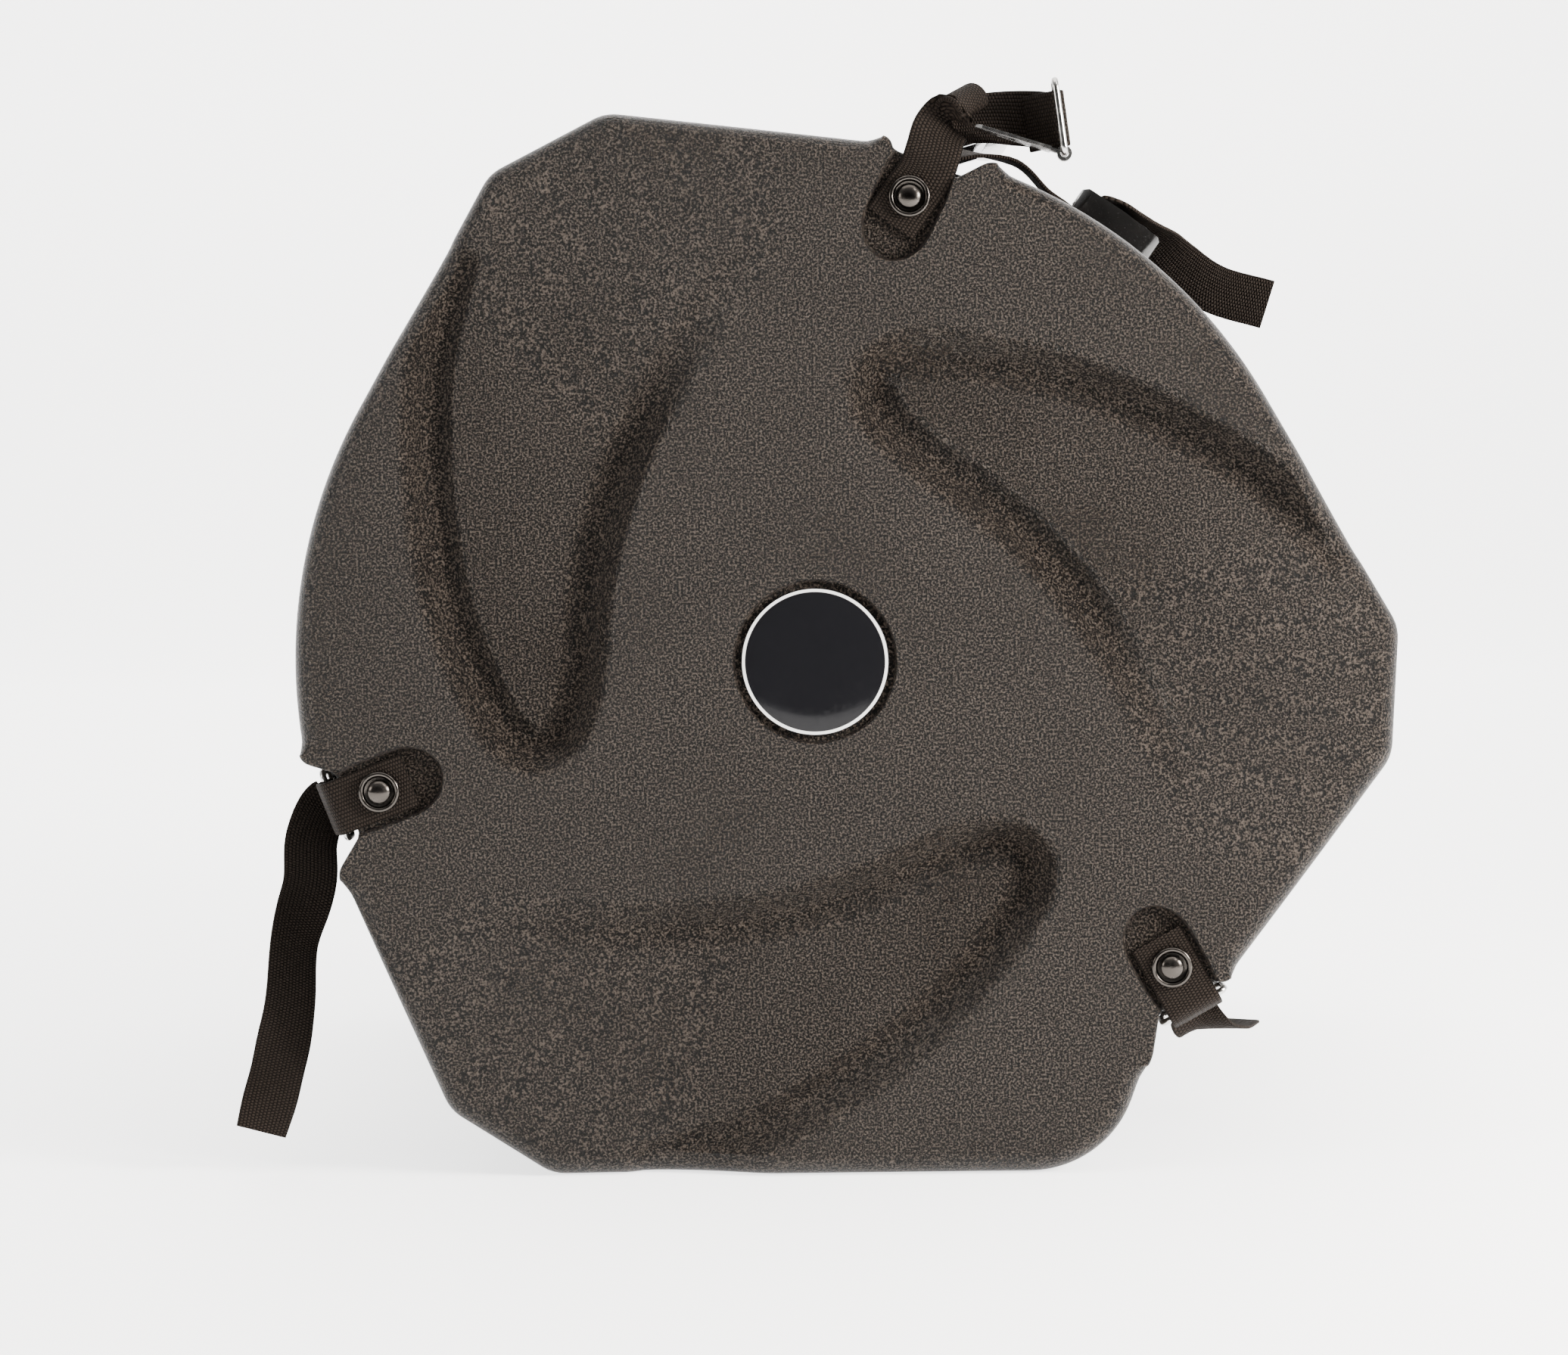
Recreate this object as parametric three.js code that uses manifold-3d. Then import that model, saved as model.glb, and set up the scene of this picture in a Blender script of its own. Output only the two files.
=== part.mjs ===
// Moulded case for a 16 inch floor tom, standing on its flat side with the lid towards -Y.
// Millimetres, +Z up. The origin is on the floor, under the middle of the case's depth.
import * as THREE from 'three';
import { mergeVertices } from 'three/addons/utils/BufferGeometryUtils.js';
import Module from 'manifold-3d';

const wasm = await Module();
wasm.setup();

// Driving sizes of the whole case
const case_radius = 234;
const flat_step = 2;
const flat_drop = case_radius - flat_step;
const case_depth = 470;
const wall = 4.5;
const lid_skirt = 100;
const lid_draft = 1.5;
const base_draft = 3;
const rim_round = 10;
const back_round = 14;
const overrun = 5;
const seat_gap = 0.3;
const tool_gap = 0.02;
const merge_gap = 0.0001;

// Three lobes on the outline, and the corner where the flat side ends
const lobe_count = 3;
const lobe_rise = 29;
const lobe_reach = case_radius + lobe_rise;
const lobe_half_deg = 6.4;
const lobe_corner_round = 20;
const flat_corner_share = 0.551;
const flat_corner_x = flat_corner_share * case_radius;
const flat_corner_round = 49;
const flat_corner_slope_deg = 70;
const outline_pitch = 18;

// Neck of the base, which the lid slides over
const neck_length = 30;
const neck_clearance = 0.8;
const neck_wall = 4;
const neck_ramp = 8;

// Raised swirl on the lid face: the grooves between the blades and the lobes
const swirl_turn_deg = 76.2;
const groove_depth = 11;
const lobe_face_drop = 7;
const groove_outer_width = 16.5;
const groove_inner_width = 9;
const swirl_fade_from_deg = 58;
const swirl_fade_to_deg = 106;
const lid_inner_level = 17;
const lid_centre_level = 7;
const lid_centre_radius = 84;
const face_plain_pitch = 30;
const face_groove_pitch = 13;
const face_rim_margin = 8;
const face_point_gap = 5;
const hull_reach_share = 30;
const point_shake = 0.01;

// Badge in its recess
const badge_radius = 32.5;
const badge_thickness = 1.8;
const badge_recess_radius = 36;
const badge_recess_depth = 2.5;
const badge_edge_round = 0.6;

// Foam pads
const foam_thickness = 12;
const foam_side_gap = 2;

// Strap pockets on the lid face and channels in the side
const pocket_depth = 4;
const pocket_half_width = 15.2;
const pocket_reach = 29.5;
const pocket_end_length = 18;
const channel_half_width = 21;
const channel_floor = 16;
const channel_round = 6;
const channel_length = 165;

// Webbing and hardware
const webbing_width = 24.8;
const webbing_thickness = 1.8;
const wire_radius = 1.5;
const ring_length = 32;
const ring_pitch = 14;
const ring_bend = 3;
const bar_clearance = 0.3;
const ring_height = 25.5;
const ring_front = 27;
const tab_end_length = 14.5;
const plate_width = 22;
const plate_length = 41;
const plate_thickness = 1.5;
const plate_knuckle_width = 7.4;
const plate_corner = 3;
const plate_window_width = 9.2;
const plate_window_length = 8;

// Buckle housing, in its own frame: y from the mouth to the rear, z from its underside
const housing_width = 31;
const housing_length = 44;
const housing_height = 13;
const housing_front = 52;
const housing_lift = 0.4;
const housing_corner = 5;
const housing_crown = 1.2;
const plate_slot_margin = 0.6;
const strap_bar_radius = 2.2;
const strap_bar_inset = 5;
const button_width = 13.4;
const button_length = 14.4;
const button_setback = 8.3;
const button_proud = 0.9;
const button_pad_height = 2.3;
const button_foot_width = 8;
const button_foot_length = 6;
const spring_width = 8;
const spring_thickness = 0.8;
const spring_length = 20;
const spring_bay_depth = 5.3;

// Rivets, cup washers and back washers
const rivet_shank_radius = 2.4;
const rivet_hole_clearance = 0.3;
const rivet_dome_radius = 5.4;
const rivet_dome_height = 3;
const rivet_tail_radius = 3.6;
const rivet_tail_length = 1.6;
const cup_radius = 9.2;
const cup_height = 2.3;
const cup_floor = 0.8;
const washer_radius = 8;
const washer_thickness = 1.5;
const washer_bay_radius = 13;
const base_rivet_depth = 135;
const base_strap_end = 13;

// Handle on the side of the base
const handle_turn_deg = 72.6;
const handle_front = 205;
const handle_length = 170;
const handle_pad_width = 54;
const handle_pad_height = 2;
const handle_plate_width = 48;
const handle_plate_thickness = 3;
const lug_thickness = 7;
const lug_inset = 9;
const lug_radius = 6;
const lug_foot = 8.4;
const pivot_across = -14;
const pivot_height = 13;
const pin_radius = 2.5;
const pin_clearance = 0.3;
const arm_thickness = 7;
const arm_reach = 33;
const arm_rise_deg = 33;
const arm_height = 11;
const grip_radius = 11;
const grip_flat_share = 0.72;
const handle_rivet_across = 13;
const handle_rivet_inset = 26;
const handle_rivet_radius = 4;
const handle_rivet_height = 1.6;
const handle_rivet_top = 2.8;

// Facet counts
const round_segments = 14;
const badge_segments = 32;
const small_segments = 10;
const wire_sides = 6;
const bend_steps = 3;
const fillet_steps = 2;
const rim_steps = 3;

// The three fastenings, anticlockwise from the top one, which hangs open. The rivets were set
// by hand, so each has its own inset from the case radius and its own direction.
// axis: direction of pocket and channel; tab: direction of the lid's webbing tab.
const fastenings = [
  { rivet_inset: 24.5, rivet_deg: 77.8, axis_deg: 64, tab_deg: 54, closed: false },
  { rivet_inset: 31, rivet_deg: 195.9, axis_deg: 200.5, tab_deg: 200.5, closed: true },
  { rivet_inset: 24, rivet_deg: 318.6, axis_deg: 299, tab_deg: 299, closed: true },
];

// Colours and finishes
const paint = (name, color, roughness, metalness) =>
  new THREE.MeshStandardMaterial({ name, color, roughness, metalness });
const shell_plastic = paint('shell', 0x3b3733, 0.62, 0);
const gloss_plastic = paint('gloss', 0x121110, 0.18, 0);
const webbing = paint('webbing', 0x1a1817, 0.9, 0);
const gunmetal = paint('gunmetal', 0x3a3532, 0.3, 0.9);
const steel = paint('steel', 0x8f8d8a, 0.28, 1);
const foam = paint('foam', 0x2a2a2c, 0.95, 0);
const badge_gloss = paint('badge', 0x0c0c0e, 0.12, 0);

const rad = THREE.MathUtils.degToRad;
const full_turn_deg = 360;
const quarter_deg = full_turn_deg / 4;
const lobe_step_deg = full_turn_deg / lobe_count;
const face_y = -case_depth / 2;
const axis_height = flat_drop;

// Solid helpers

function toSolid(geometry) {
  const bare = geometry.clone();
  bare.deleteAttribute('normal');
  bare.deleteAttribute('uv');
  const merged = mergeVertices(bare, merge_gap);
  return new wasm.Manifold(new wasm.Mesh({
    numProp: 3,
    vertProperties: new Float32Array(merged.attributes.position.array),
    triVerts: new Uint32Array(merged.index.array),
  }));
}

function toGeometry(solid) {
  const mesh = solid.getMesh();
  const geometry = new THREE.BufferGeometry();
  geometry.setAttribute('position', new THREE.BufferAttribute(new Float32Array(mesh.vertProperties), 3));
  geometry.setIndex(new THREE.BufferAttribute(new Uint32Array(mesh.triVerts), 1));
  geometry.computeVertexNormals();
  return geometry;
}

// A closed geometry from points and triangles, turned so that its faces point out
function closedGeometry(points, triangles) {
  let volume = 0;
  for (const [a, b, c] of triangles) {
    volume += points[a].dot(points[b].clone().cross(points[c]));
  }
  const facing = volume < 0 ? ([a, b, c]) => [a, c, b] : (t) => t;
  const geometry = new THREE.BufferGeometry();
  const numbers = points.flatMap((p) => [p.x, p.y, p.z]);
  geometry.setAttribute('position', new THREE.Float32BufferAttribute(numbers, 3));
  geometry.setIndex(triangles.flatMap(facing));
  geometry.computeVertexNormals();
  return geometry;
}

// A skin through rings of equal count, closed by a fan to a point at each end
function ringSolid(rings, first, last) {
  const count = rings[0].length;
  const points = rings.flat().concat([first, last]);
  const first_index = points.length - 2;
  const last_index = points.length - 1;
  const triangles = [];
  for (let r = 0; r + 1 < rings.length; r += 1) {
    for (let i = 0; i < count; i += 1) {
      const j = (i + 1) % count;
      const a = r * count + i;
      const b = r * count + j;
      triangles.push([a, b, b + count], [a, b + count, a + count]);
    }
  }
  const top = (rings.length - 1) * count;
  for (let i = 0; i < count; i += 1) {
    const j = (i + 1) % count;
    triangles.push([first_index, j, i], [last_index, top + i, top + j]);
  }
  return closedGeometry(points, triangles);
}

// A cap of points and triangles, whose first points carry on into rings of that count,
// closed by a fan to a last point
function cappedSolid(cap, rings, last) {
  const count = rings[0].length;
  const points = [...cap.points, ...rings.flat(), last];
  const triangles = cap.triangles.map(([a, b, c]) => [a, c, b]);
  rings.forEach((_, r) => {
    const start = cap.points.length + r * count;
    const before = r === 0 ? 0 : start - count;
    for (let i = 0; i < count; i += 1) {
      const j = (i + 1) % count;
      triangles.push([before + i, before + j, start + j], [before + i, start + j, start + i]);
    }
  });
  const top = points.length - 1 - count;
  for (let i = 0; i < count; i += 1) triangles.push([points.length - 1, top + i, top + ((i + 1) % count)]);
  return closedGeometry(points, triangles);
}

// A prism of an outline drawn in (x, z), between two depths
function prismAlongY(outline, y_from, y_to) {
  const shape = new THREE.Shape(outline.map(([x, z]) => new THREE.Vector2(x, -z)));
  const geometry = new THREE.ExtrudeGeometry(shape, { depth: y_to - y_from, bevelEnabled: false });
  geometry.rotateX(-Math.PI / 2);
  geometry.translate(0, y_from, 0);
  return geometry;
}

// A prism of an outline drawn in (y, z), centred on x = 0
function prismAlongX(outline, width, holes = []) {
  const shape = new THREE.Shape(outline.map(([y, z]) => new THREE.Vector2(y, z)));
  for (const [y, z, radius] of holes) {
    const hole = new THREE.Path();
    hole.absarc(y, z, radius, 0, 2 * Math.PI, true);
    shape.holes.push(hole);
  }
  const geometry = new THREE.ExtrudeGeometry(shape, {
    depth: width, bevelEnabled: false, curveSegments: round_segments,
  });
  geometry.translate(0, 0, -width / 2);
  geometry.rotateY(Math.PI / 2);
  geometry.rotateX(Math.PI / 2);
  return geometry;
}

// A prism of an outline drawn in (x, y), between two heights
function prismAlongZ(outline, z_from, z_to) {
  const shape = new THREE.Shape(outline.map(([x, y]) => new THREE.Vector2(x, y)));
  const geometry = new THREE.ExtrudeGeometry(shape, { depth: z_to - z_from, bevelEnabled: false });
  geometry.translate(0, 0, z_from);
  return geometry;
}

function box(x_from, x_to, y_from, y_to, z_from, z_to) {
  const geometry = new THREE.BoxGeometry(x_to - x_from, y_to - y_from, z_to - z_from);
  geometry.translate((x_from + x_to) / 2, (y_from + y_to) / 2, (z_from + z_to) / 2);
  return geometry;
}

// A turned piece: profile of [radius, height] pairs, about the local z axis
function turned(profile, segments = small_segments) {
  const geometry = new THREE.LatheGeometry(profile.map(([r, h]) => new THREE.Vector2(r, h)), segments);
  geometry.rotateX(Math.PI / 2);
  return geometry;
}

// A rounded rectangle outline about a centre
function roundedRectangle(x_from, x_to, y_from, y_to, radius, steps = bend_steps) {
  const corners = [
    [x_to - radius, y_to - radius, 0],
    [x_from + radius, y_to - radius, quarter_deg],
    [x_from + radius, y_from + radius, 2 * quarter_deg],
    [x_to - radius, y_from + radius, 3 * quarter_deg],
  ];
  return corners.flatMap(([cx, cy, start]) =>
    Array.from({ length: steps + 1 }, (_, k) => {
      const angle = rad(start + (quarter_deg * k) / steps);
      return [cx + radius * Math.cos(angle), cy + radius * Math.sin(angle)];
    }));
}

// Outline of the case, in (x, z) about its axis, for an inset from the outside.
// Every inset gives the same count of points.

const flank_deg = lobe_half_deg + THREE.MathUtils.radToDeg(Math.acos(case_radius / lobe_reach));
const lobe_turn_deg = 3 * quarter_deg - flank_deg - lobe_step_deg;

function meet(first, second) {
  const [a, b] = [rad(first.deg), rad(second.deg)];
  const det = Math.cos(a) * Math.sin(b) - Math.sin(a) * Math.cos(b);
  return new THREE.Vector2(
    (first.reach * Math.sin(b) - second.reach * Math.sin(a)) / det,
    (second.reach * Math.cos(a) - first.reach * Math.cos(b)) / det,
  );
}

function outlineEdges(inset) {
  const side = (deg, reach) => ({ deg, reach: reach - inset });
  const cap_reach = lobe_reach * Math.cos(rad(lobe_half_deg));
  const lobe = (k) => lobe_turn_deg + k * lobe_step_deg;
  const slope_normal = flat_corner_slope_deg + 3 * quarter_deg;
  const slope_reach = flat_corner_x * Math.cos(rad(slope_normal)) - flat_drop * Math.sin(rad(slope_normal));
  return {
    a_right: side(lobe(0) - flank_deg, case_radius), a_cap: side(lobe(0), cap_reach),
    a_left: side(lobe(0) + flank_deg, case_radius),
    c_left: side(lobe(1) - flank_deg, case_radius), c_cap: side(lobe(1), cap_reach),
    flat: side(3 * quarter_deg, flat_drop),
    slope: side(slope_normal, slope_reach),
    b_low: side(lobe(2) - flank_deg, case_radius), b_cap: side(lobe(2), cap_reach),
    b_top: side(lobe(2) + flank_deg, case_radius),
  };
}

function filletPoints(first, second, radius, steps) {
  const inner = meet(
    { deg: first.deg, reach: first.reach - radius },
    { deg: second.deg, reach: second.reach - radius },
  );
  return Array.from({ length: steps + 1 }, (_, k) => {
    const angle = rad(first.deg + ((second.deg - first.deg) * k) / steps);
    return new THREE.Vector2(inner.x + radius * Math.cos(angle), inner.y + radius * Math.sin(angle));
  });
}

function arcPoints(radius, from_deg, to_deg, steps) {
  return Array.from({ length: steps + 1 }, (_, k) => {
    const angle = rad(from_deg + ((to_deg - from_deg) * k) / steps);
    return new THREE.Vector2(radius * Math.cos(angle), radius * Math.sin(angle));
  });
}

function straightSteps(from, to) {
  return Math.max(1, Math.round(from.distanceTo(to) / outline_pitch));
}

// Stretches of the outline; straight runs between them are divided evenly
function outlineStretches(inset) {
  const e = outlineEdges(inset);
  const round = Math.max(lobe_corner_round - inset, badge_edge_round);
  const radius = case_radius - inset;
  const arc_steps = (span) => Math.max(2, Math.round((rad(span) * case_radius) / outline_pitch));
  const slope_meets = e.slope.deg - THREE.MathUtils.radToDeg(Math.acos(e.slope.reach / radius));
  const turn = full_turn_deg;
  return [
    filletPoints(e.b_cap, e.b_top, round, fillet_steps),
    arcPoints(radius, e.b_top.deg - turn, e.a_right.deg, arc_steps(e.a_right.deg + turn - e.b_top.deg)),
    filletPoints(e.a_right, e.a_cap, round, fillet_steps),
    filletPoints(e.a_cap, e.a_left, round, fillet_steps),
    arcPoints(radius, e.a_left.deg, e.c_left.deg, arc_steps(e.c_left.deg - e.a_left.deg)),
    filletPoints(e.c_left, e.c_cap, round, fillet_steps),
    filletPoints(e.c_cap, e.flat, round, fillet_steps),
    filletPoints(e.flat, e.slope, flat_corner_round - inset, 2 * fillet_steps),
    arcPoints(radius, slope_meets, e.b_low.deg, 2),
    filletPoints(e.b_low, e.b_cap, round, fillet_steps),
  ];
}

const straight_counts = outlineStretches(0).map((stretch, i, all) => {
  const next = all[(i + 1) % all.length];
  return straightSteps(stretch[stretch.length - 1], next[0]);
});

function outline(inset) {
  const stretches = outlineStretches(inset);
  return stretches.flatMap((stretch, i) => {
    const from = stretch[stretch.length - 1];
    const to = stretches[(i + 1) % stretches.length][0];
    const between = Array.from({ length: straight_counts[i] - 1 }, (_, k) =>
      from.clone().lerp(to, (k + 1) / straight_counts[i]));
    return stretch.concat(between);
  });
}

// The outline at a depth from the lid face, drawn in about the floor by a draft
function section(depth, inset, draft = 0) {
  const shrink = 1 - draft / case_radius;
  return outline(inset).map((p) =>
    new THREE.Vector3(p.x * shrink, face_y + depth, (p.y + flat_drop) * shrink));
}

// The lid's draft runs out at its open edge, and the base's neck follows it
function lidDraftAt(depth) {
  return (lid_draft * (lid_skirt - depth)) / lid_skirt;
}

function baseDraftAt(depth) {
  return (base_draft * (depth - base_front)) / (case_depth - back_round - base_front);
}

function sectionCentre(depth) {
  return new THREE.Vector3(0, face_y + depth, axis_height);
}

function lofted(sections) {
  const depth_of = (ring) => ring[0].y - face_y;
  return toSolid(ringSolid(sections, sectionCentre(depth_of(sections[0])),
    sectionCentre(depth_of(sections[sections.length - 1]))));
}

// The swirl: three hairpin grooves, each round one lobe's face.
// Arms are pairs of an angle back from the closed end and a share of the case radius.

const outer_arm_shares = [
  [66, 1.01], [55, 0.905], [40, 0.777], [25, 0.684], [11, 0.618], [4, 0.588],
];
const turn_shares = [[1.2, 0.56], [0.8, 0.53], [2.6, 0.502]];
const inner_arm_shares = [
  [8, 0.474], [16, 0.456], [32, 0.46], [55, 0.507], [75, 0.59], [95, 0.75], [108, 0.9],
];
const far_shares = [[swirl_fade_to_deg, 1.7], [85, 1.7], [60, 1.7]];
const groove_samples = 48;

const hairpins = Array.from({ length: lobe_count }, (_, k) => {
  const end_deg = swirl_turn_deg + k * lobe_step_deg;
  const place = ([back_deg, radius_share]) => {
    const angle = rad(end_deg - back_deg);
    return new THREE.Vector3(Math.cos(angle), Math.sin(angle), 0).multiplyScalar(radius_share * case_radius);
  };
  const knots = [...outer_arm_shares, ...turn_shares, ...inner_arm_shares].map(place);
  const line = new THREE.CatmullRomCurve3(knots).getPoints(groove_samples);
  return { end_deg, line, region: line.concat(far_shares.map(place)) };
});

// Rows of points along a groove, as shares of its width inwards and outwards
const groove_row_shares = [-1, -0.5, 0, 0.35, 0.7, 1];

function inside(region, x, z) {
  let odd = false;
  region.forEach((a, i) => {
    const b = region[(i + 1) % region.length];
    const crosses = (a.y > z) !== (b.y > z);
    if (crosses && x < ((b.x - a.x) * (z - a.y)) / (b.y - a.y) + a.x) odd = !odd;
  });
  return odd;
}

function distanceTo(line, x, z) {
  let best = Infinity;
  for (let i = 0; i + 1 < line.length; i += 1) {
    const [a, b] = [line[i], line[i + 1]];
    const [dx, dz] = [b.x - a.x, b.y - a.y];
    const along = THREE.MathUtils.clamp(((x - a.x) * dx + (z - a.y) * dz) / (dx * dx + dz * dz), 0, 1);
    best = Math.min(best, Math.hypot(x - a.x - along * dx, z - a.y - along * dz));
  }
  return best;
}

// The angle of a point back from a hairpin's closed end
function backFrom(end_deg, x, z) {
  const angle = THREE.MathUtils.radToDeg(Math.atan2(z, x));
  const half_step = lobe_step_deg / 2;
  return THREE.MathUtils.euclideanModulo(end_deg - angle + half_step, full_turn_deg) - half_step;
}

// How far the lid face lies behind its foremost plane, at a point about the case's axis
function faceDrop(x, z) {
  let drop = 0;
  for (const { end_deg, line, region } of hairpins) {
    const back = backFrom(end_deg, x, z);
    const fade = 1 - THREE.MathUtils.smoothstep(back, swirl_fade_from_deg, swirl_fade_to_deg);
    const distance = distanceTo(line, x, z);
    const within = inside(region, x, z);
    const outer = groove_depth * (1 - THREE.MathUtils.smoothstep(distance, 0, groove_outer_width));
    const rise = THREE.MathUtils.smoothstep(distance, 0, groove_inner_width);
    const inner = groove_depth + (lobe_face_drop - groove_depth) * rise;
    drop = Math.max(drop, (within ? inner : outer) * fade);
  }
  return drop;
}

// Fastening seats: x across the strap, y into the depth from the lid face, z outwards

function seatAt(radius, position_deg, axis_deg) {
  const outward = new THREE.Vector3(Math.cos(rad(axis_deg)), 0, Math.sin(rad(axis_deg)));
  const across = new THREE.Vector3(Math.sin(rad(axis_deg)), 0, -Math.cos(rad(axis_deg)));
  const origin = new THREE.Vector3(
    radius * Math.cos(rad(position_deg)), face_y, axis_height + radius * Math.sin(rad(position_deg)));
  const matrix = new THREE.Matrix4().makeBasis(across, new THREE.Vector3(0, 1, 0), outward);
  matrix.setPosition(origin);
  return {
    matrix,
    point: (x, y, z) => new THREE.Vector3(x, y, z).applyMatrix4(matrix),
    way: (x, y, z) => new THREE.Vector3(x, y, z).transformDirection(matrix),
    solid: (geometry) => toSolid(geometry.clone().applyMatrix4(matrix)),
  };
}

const seats = fastenings.map((f) => seatAt(case_radius - f.rivet_inset, f.rivet_deg, f.axis_deg));
const tab_seats = fastenings.map((f) => seatAt(case_radius - f.rivet_inset, f.rivet_deg, f.tab_deg));
const handle_seat = seatAt(case_radius, handle_turn_deg, handle_turn_deg);

// Channel section in (x, z), grown on all sides by a margin, open outwards
function channelOutline(margin) {
  const half = channel_half_width + margin;
  const floor = channel_floor - margin;
  const top = channel_floor + 2 * lobe_rise;
  const round = channel_round + margin;
  const bend = (cx, start) => Array.from({ length: fillet_steps + 1 }, (_, k) => {
    const angle = rad(start + (quarter_deg * k) / fillet_steps);
    return [cx + round * Math.cos(angle), floor + round + round * Math.sin(angle)];
  });
  return [[half, top], [-half, top], ...bend(-half + round, 2 * quarter_deg),
    ...bend(half - round, 3 * quarter_deg)];
}

function channelSolid(seat, margin, y_from, y_to) {
  return seat.solid(prismAlongY(channelOutline(margin), y_from, y_to));
}

// Pocket section in (x, z): a rounded inner end that flares to the channel's width
function pocketOutline() {
  const straight_from = pocket_end_length - pocket_reach;
  const end = Array.from({ length: 2 * bend_steps + 1 }, (_, k) => {
    const angle = Math.PI + (Math.PI * k) / (2 * bend_steps);
    return [pocket_half_width * Math.cos(angle), straight_from + pocket_end_length * Math.sin(angle)];
  });
  const inner = channel_floor + channel_round;
  return [...end, [channel_half_width, inner], [-channel_half_width, inner]];
}

function roundHole(radius, z_from, z_to, segments = small_segments) {
  return turned([[0, z_from], [radius, z_from], [radius, z_to], [0, z_to]], segments);
}

// The same hole, sunk along the depth from the lid face
function faceHole(radius, y_from, y_to, segments = small_segments) {
  const geometry = roundHole(radius, y_from, y_to, segments);
  geometry.rotateX(-Math.PI / 2);
  return geometry;
}

const rivet_hole = rivet_shank_radius + rivet_hole_clearance;

// Lid

// Points of the lid face, drawn in (x, z): its rim first, then rows along the grooves,
// then an even spread over the plain parts
function facePoints() {
  const rim = outline(rim_round);
  const points = rim.slice();
  const add = (at, gap) => {
    if (!inside(rim, at.x, at.y) || distanceTo([...rim, rim[0]], at.x, at.y) < face_rim_margin) return;
    if (points.every((p) => p.distanceTo(at) > gap)) points.push(at);
  };
  for (const { end_deg, line } of hairpins) {
    const track = new THREE.CatmullRomCurve3(line);
    const steps = Math.round(track.getLength() / face_groove_pitch);
    for (let k = 0; k <= steps; k += 1) {
      const at = track.getPointAt(k / steps);
      const along = track.getTangentAt(k / steps);
      if (backFrom(end_deg, at.x, at.y) > swirl_fade_to_deg) continue;
      for (const share of groove_row_shares) {
        const aside = share * (share < 0 ? groove_inner_width : groove_outer_width);
        add(new THREE.Vector2(at.x + along.y * aside, at.y - along.x * aside), face_point_gap);
      }
    }
  }
  const rings = Math.floor(lobe_reach / face_plain_pitch);
  for (let r = 0; r <= rings; r += 1) {
    const count = Math.max(1, Math.round(2 * Math.PI * r));
    for (let k = 0; k < count; k += 1) {
      const angle = (2 * Math.PI * k) / count;
      const way = new THREE.Vector2(Math.cos(angle), Math.sin(angle));
      add(way.multiplyScalar(r * face_plain_pitch), face_plain_pitch / 2);
    }
  }
  return { points, rim };
}

// The triangles, anticlockwise, that join points so that none lies in another's circle
function triangulate(points) {
  const reach = hull_reach_share * lobe_reach;
  const corners = [[-reach, -reach], [reach, -reach], [0, reach]].map(([x, y]) => new THREE.Vector2(x, y));
  const shaken = points.map((p, i) =>
    new THREE.Vector2(p.x + point_shake * Math.sin(i * i), p.y + point_shake * Math.cos(i * i)));
  const all = [...shaken, ...corners];
  const circled = (ids) => {
    const [a, b, c] = ids.map((id) => all[id]);
    const [u, v] = [b.clone().sub(a), c.clone().sub(a)];
    const twice = 2 * u.cross(v);
    const [p, q] = [u.lengthSq(), v.lengthSq()];
    const centre = new THREE.Vector2((v.y * p - u.y * q) / twice, (u.x * q - v.x * p) / twice).add(a);
    return { ids, centre, square: centre.distanceToSquared(a) };
  };
  let triangles = [circled([0, 1, 2].map((k) => k + points.length))];
  shaken.forEach((point, i) => {
    const edges = new Map();
    triangles = triangles.filter(({ ids, centre, square }) => {
      if (centre.distanceToSquared(point) >= square) return true;
      ids.forEach((a, k) => {
        const b = ids[(k + 1) % ids.length];
        if (!edges.delete(`${b} ${a}`)) edges.set(`${a} ${b}`, [a, b]);
      });
      return false;
    });
    for (const [a, b] of edges.values()) triangles.push(circled([a, b, i]));
  });
  return triangles.map(({ ids }) => ids).filter((ids) => ids.every((id) => id < points.length));
}

// The lid face as a cap: points with the rim's first, and triangles between them
function lidFace() {
  const { points, rim } = facePoints();
  const guard = outline(0);
  const ids = triangulate([...points, ...guard]);
  const triangles = ids.filter((three) => {
    if (three.some((id) => id >= points.length)) return false;
    const middle = new THREE.Vector2();
    for (const id of three) middle.addScaledVector(points[id], 1 / three.length);
    return inside(rim, middle.x, middle.y);
  });
  return {
    points: points.map((p) => new THREE.Vector3(p.x, face_y + faceDrop(p.x, p.y), axis_height + p.y)),
    triangles,
  };
}

function lidRimRings() {
  const rim = outline(rim_round);
  const drops = rim.map((p) => faceDrop(p.x, p.y));
  const shrink = 1 - lid_draft / case_radius;
  return Array.from({ length: rim_steps }, (_, k) => {
    const angle = rad((quarter_deg * (k + 1)) / rim_steps);
    const inset = rim_round * (1 - Math.sin(angle));
    return outline(inset).map((p, i) => new THREE.Vector3(
      p.x * shrink,
      face_y + drops[i] + rim_round * (1 - Math.cos(angle)),
      (p.y + flat_drop) * shrink,
    ));
  });
}

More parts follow.
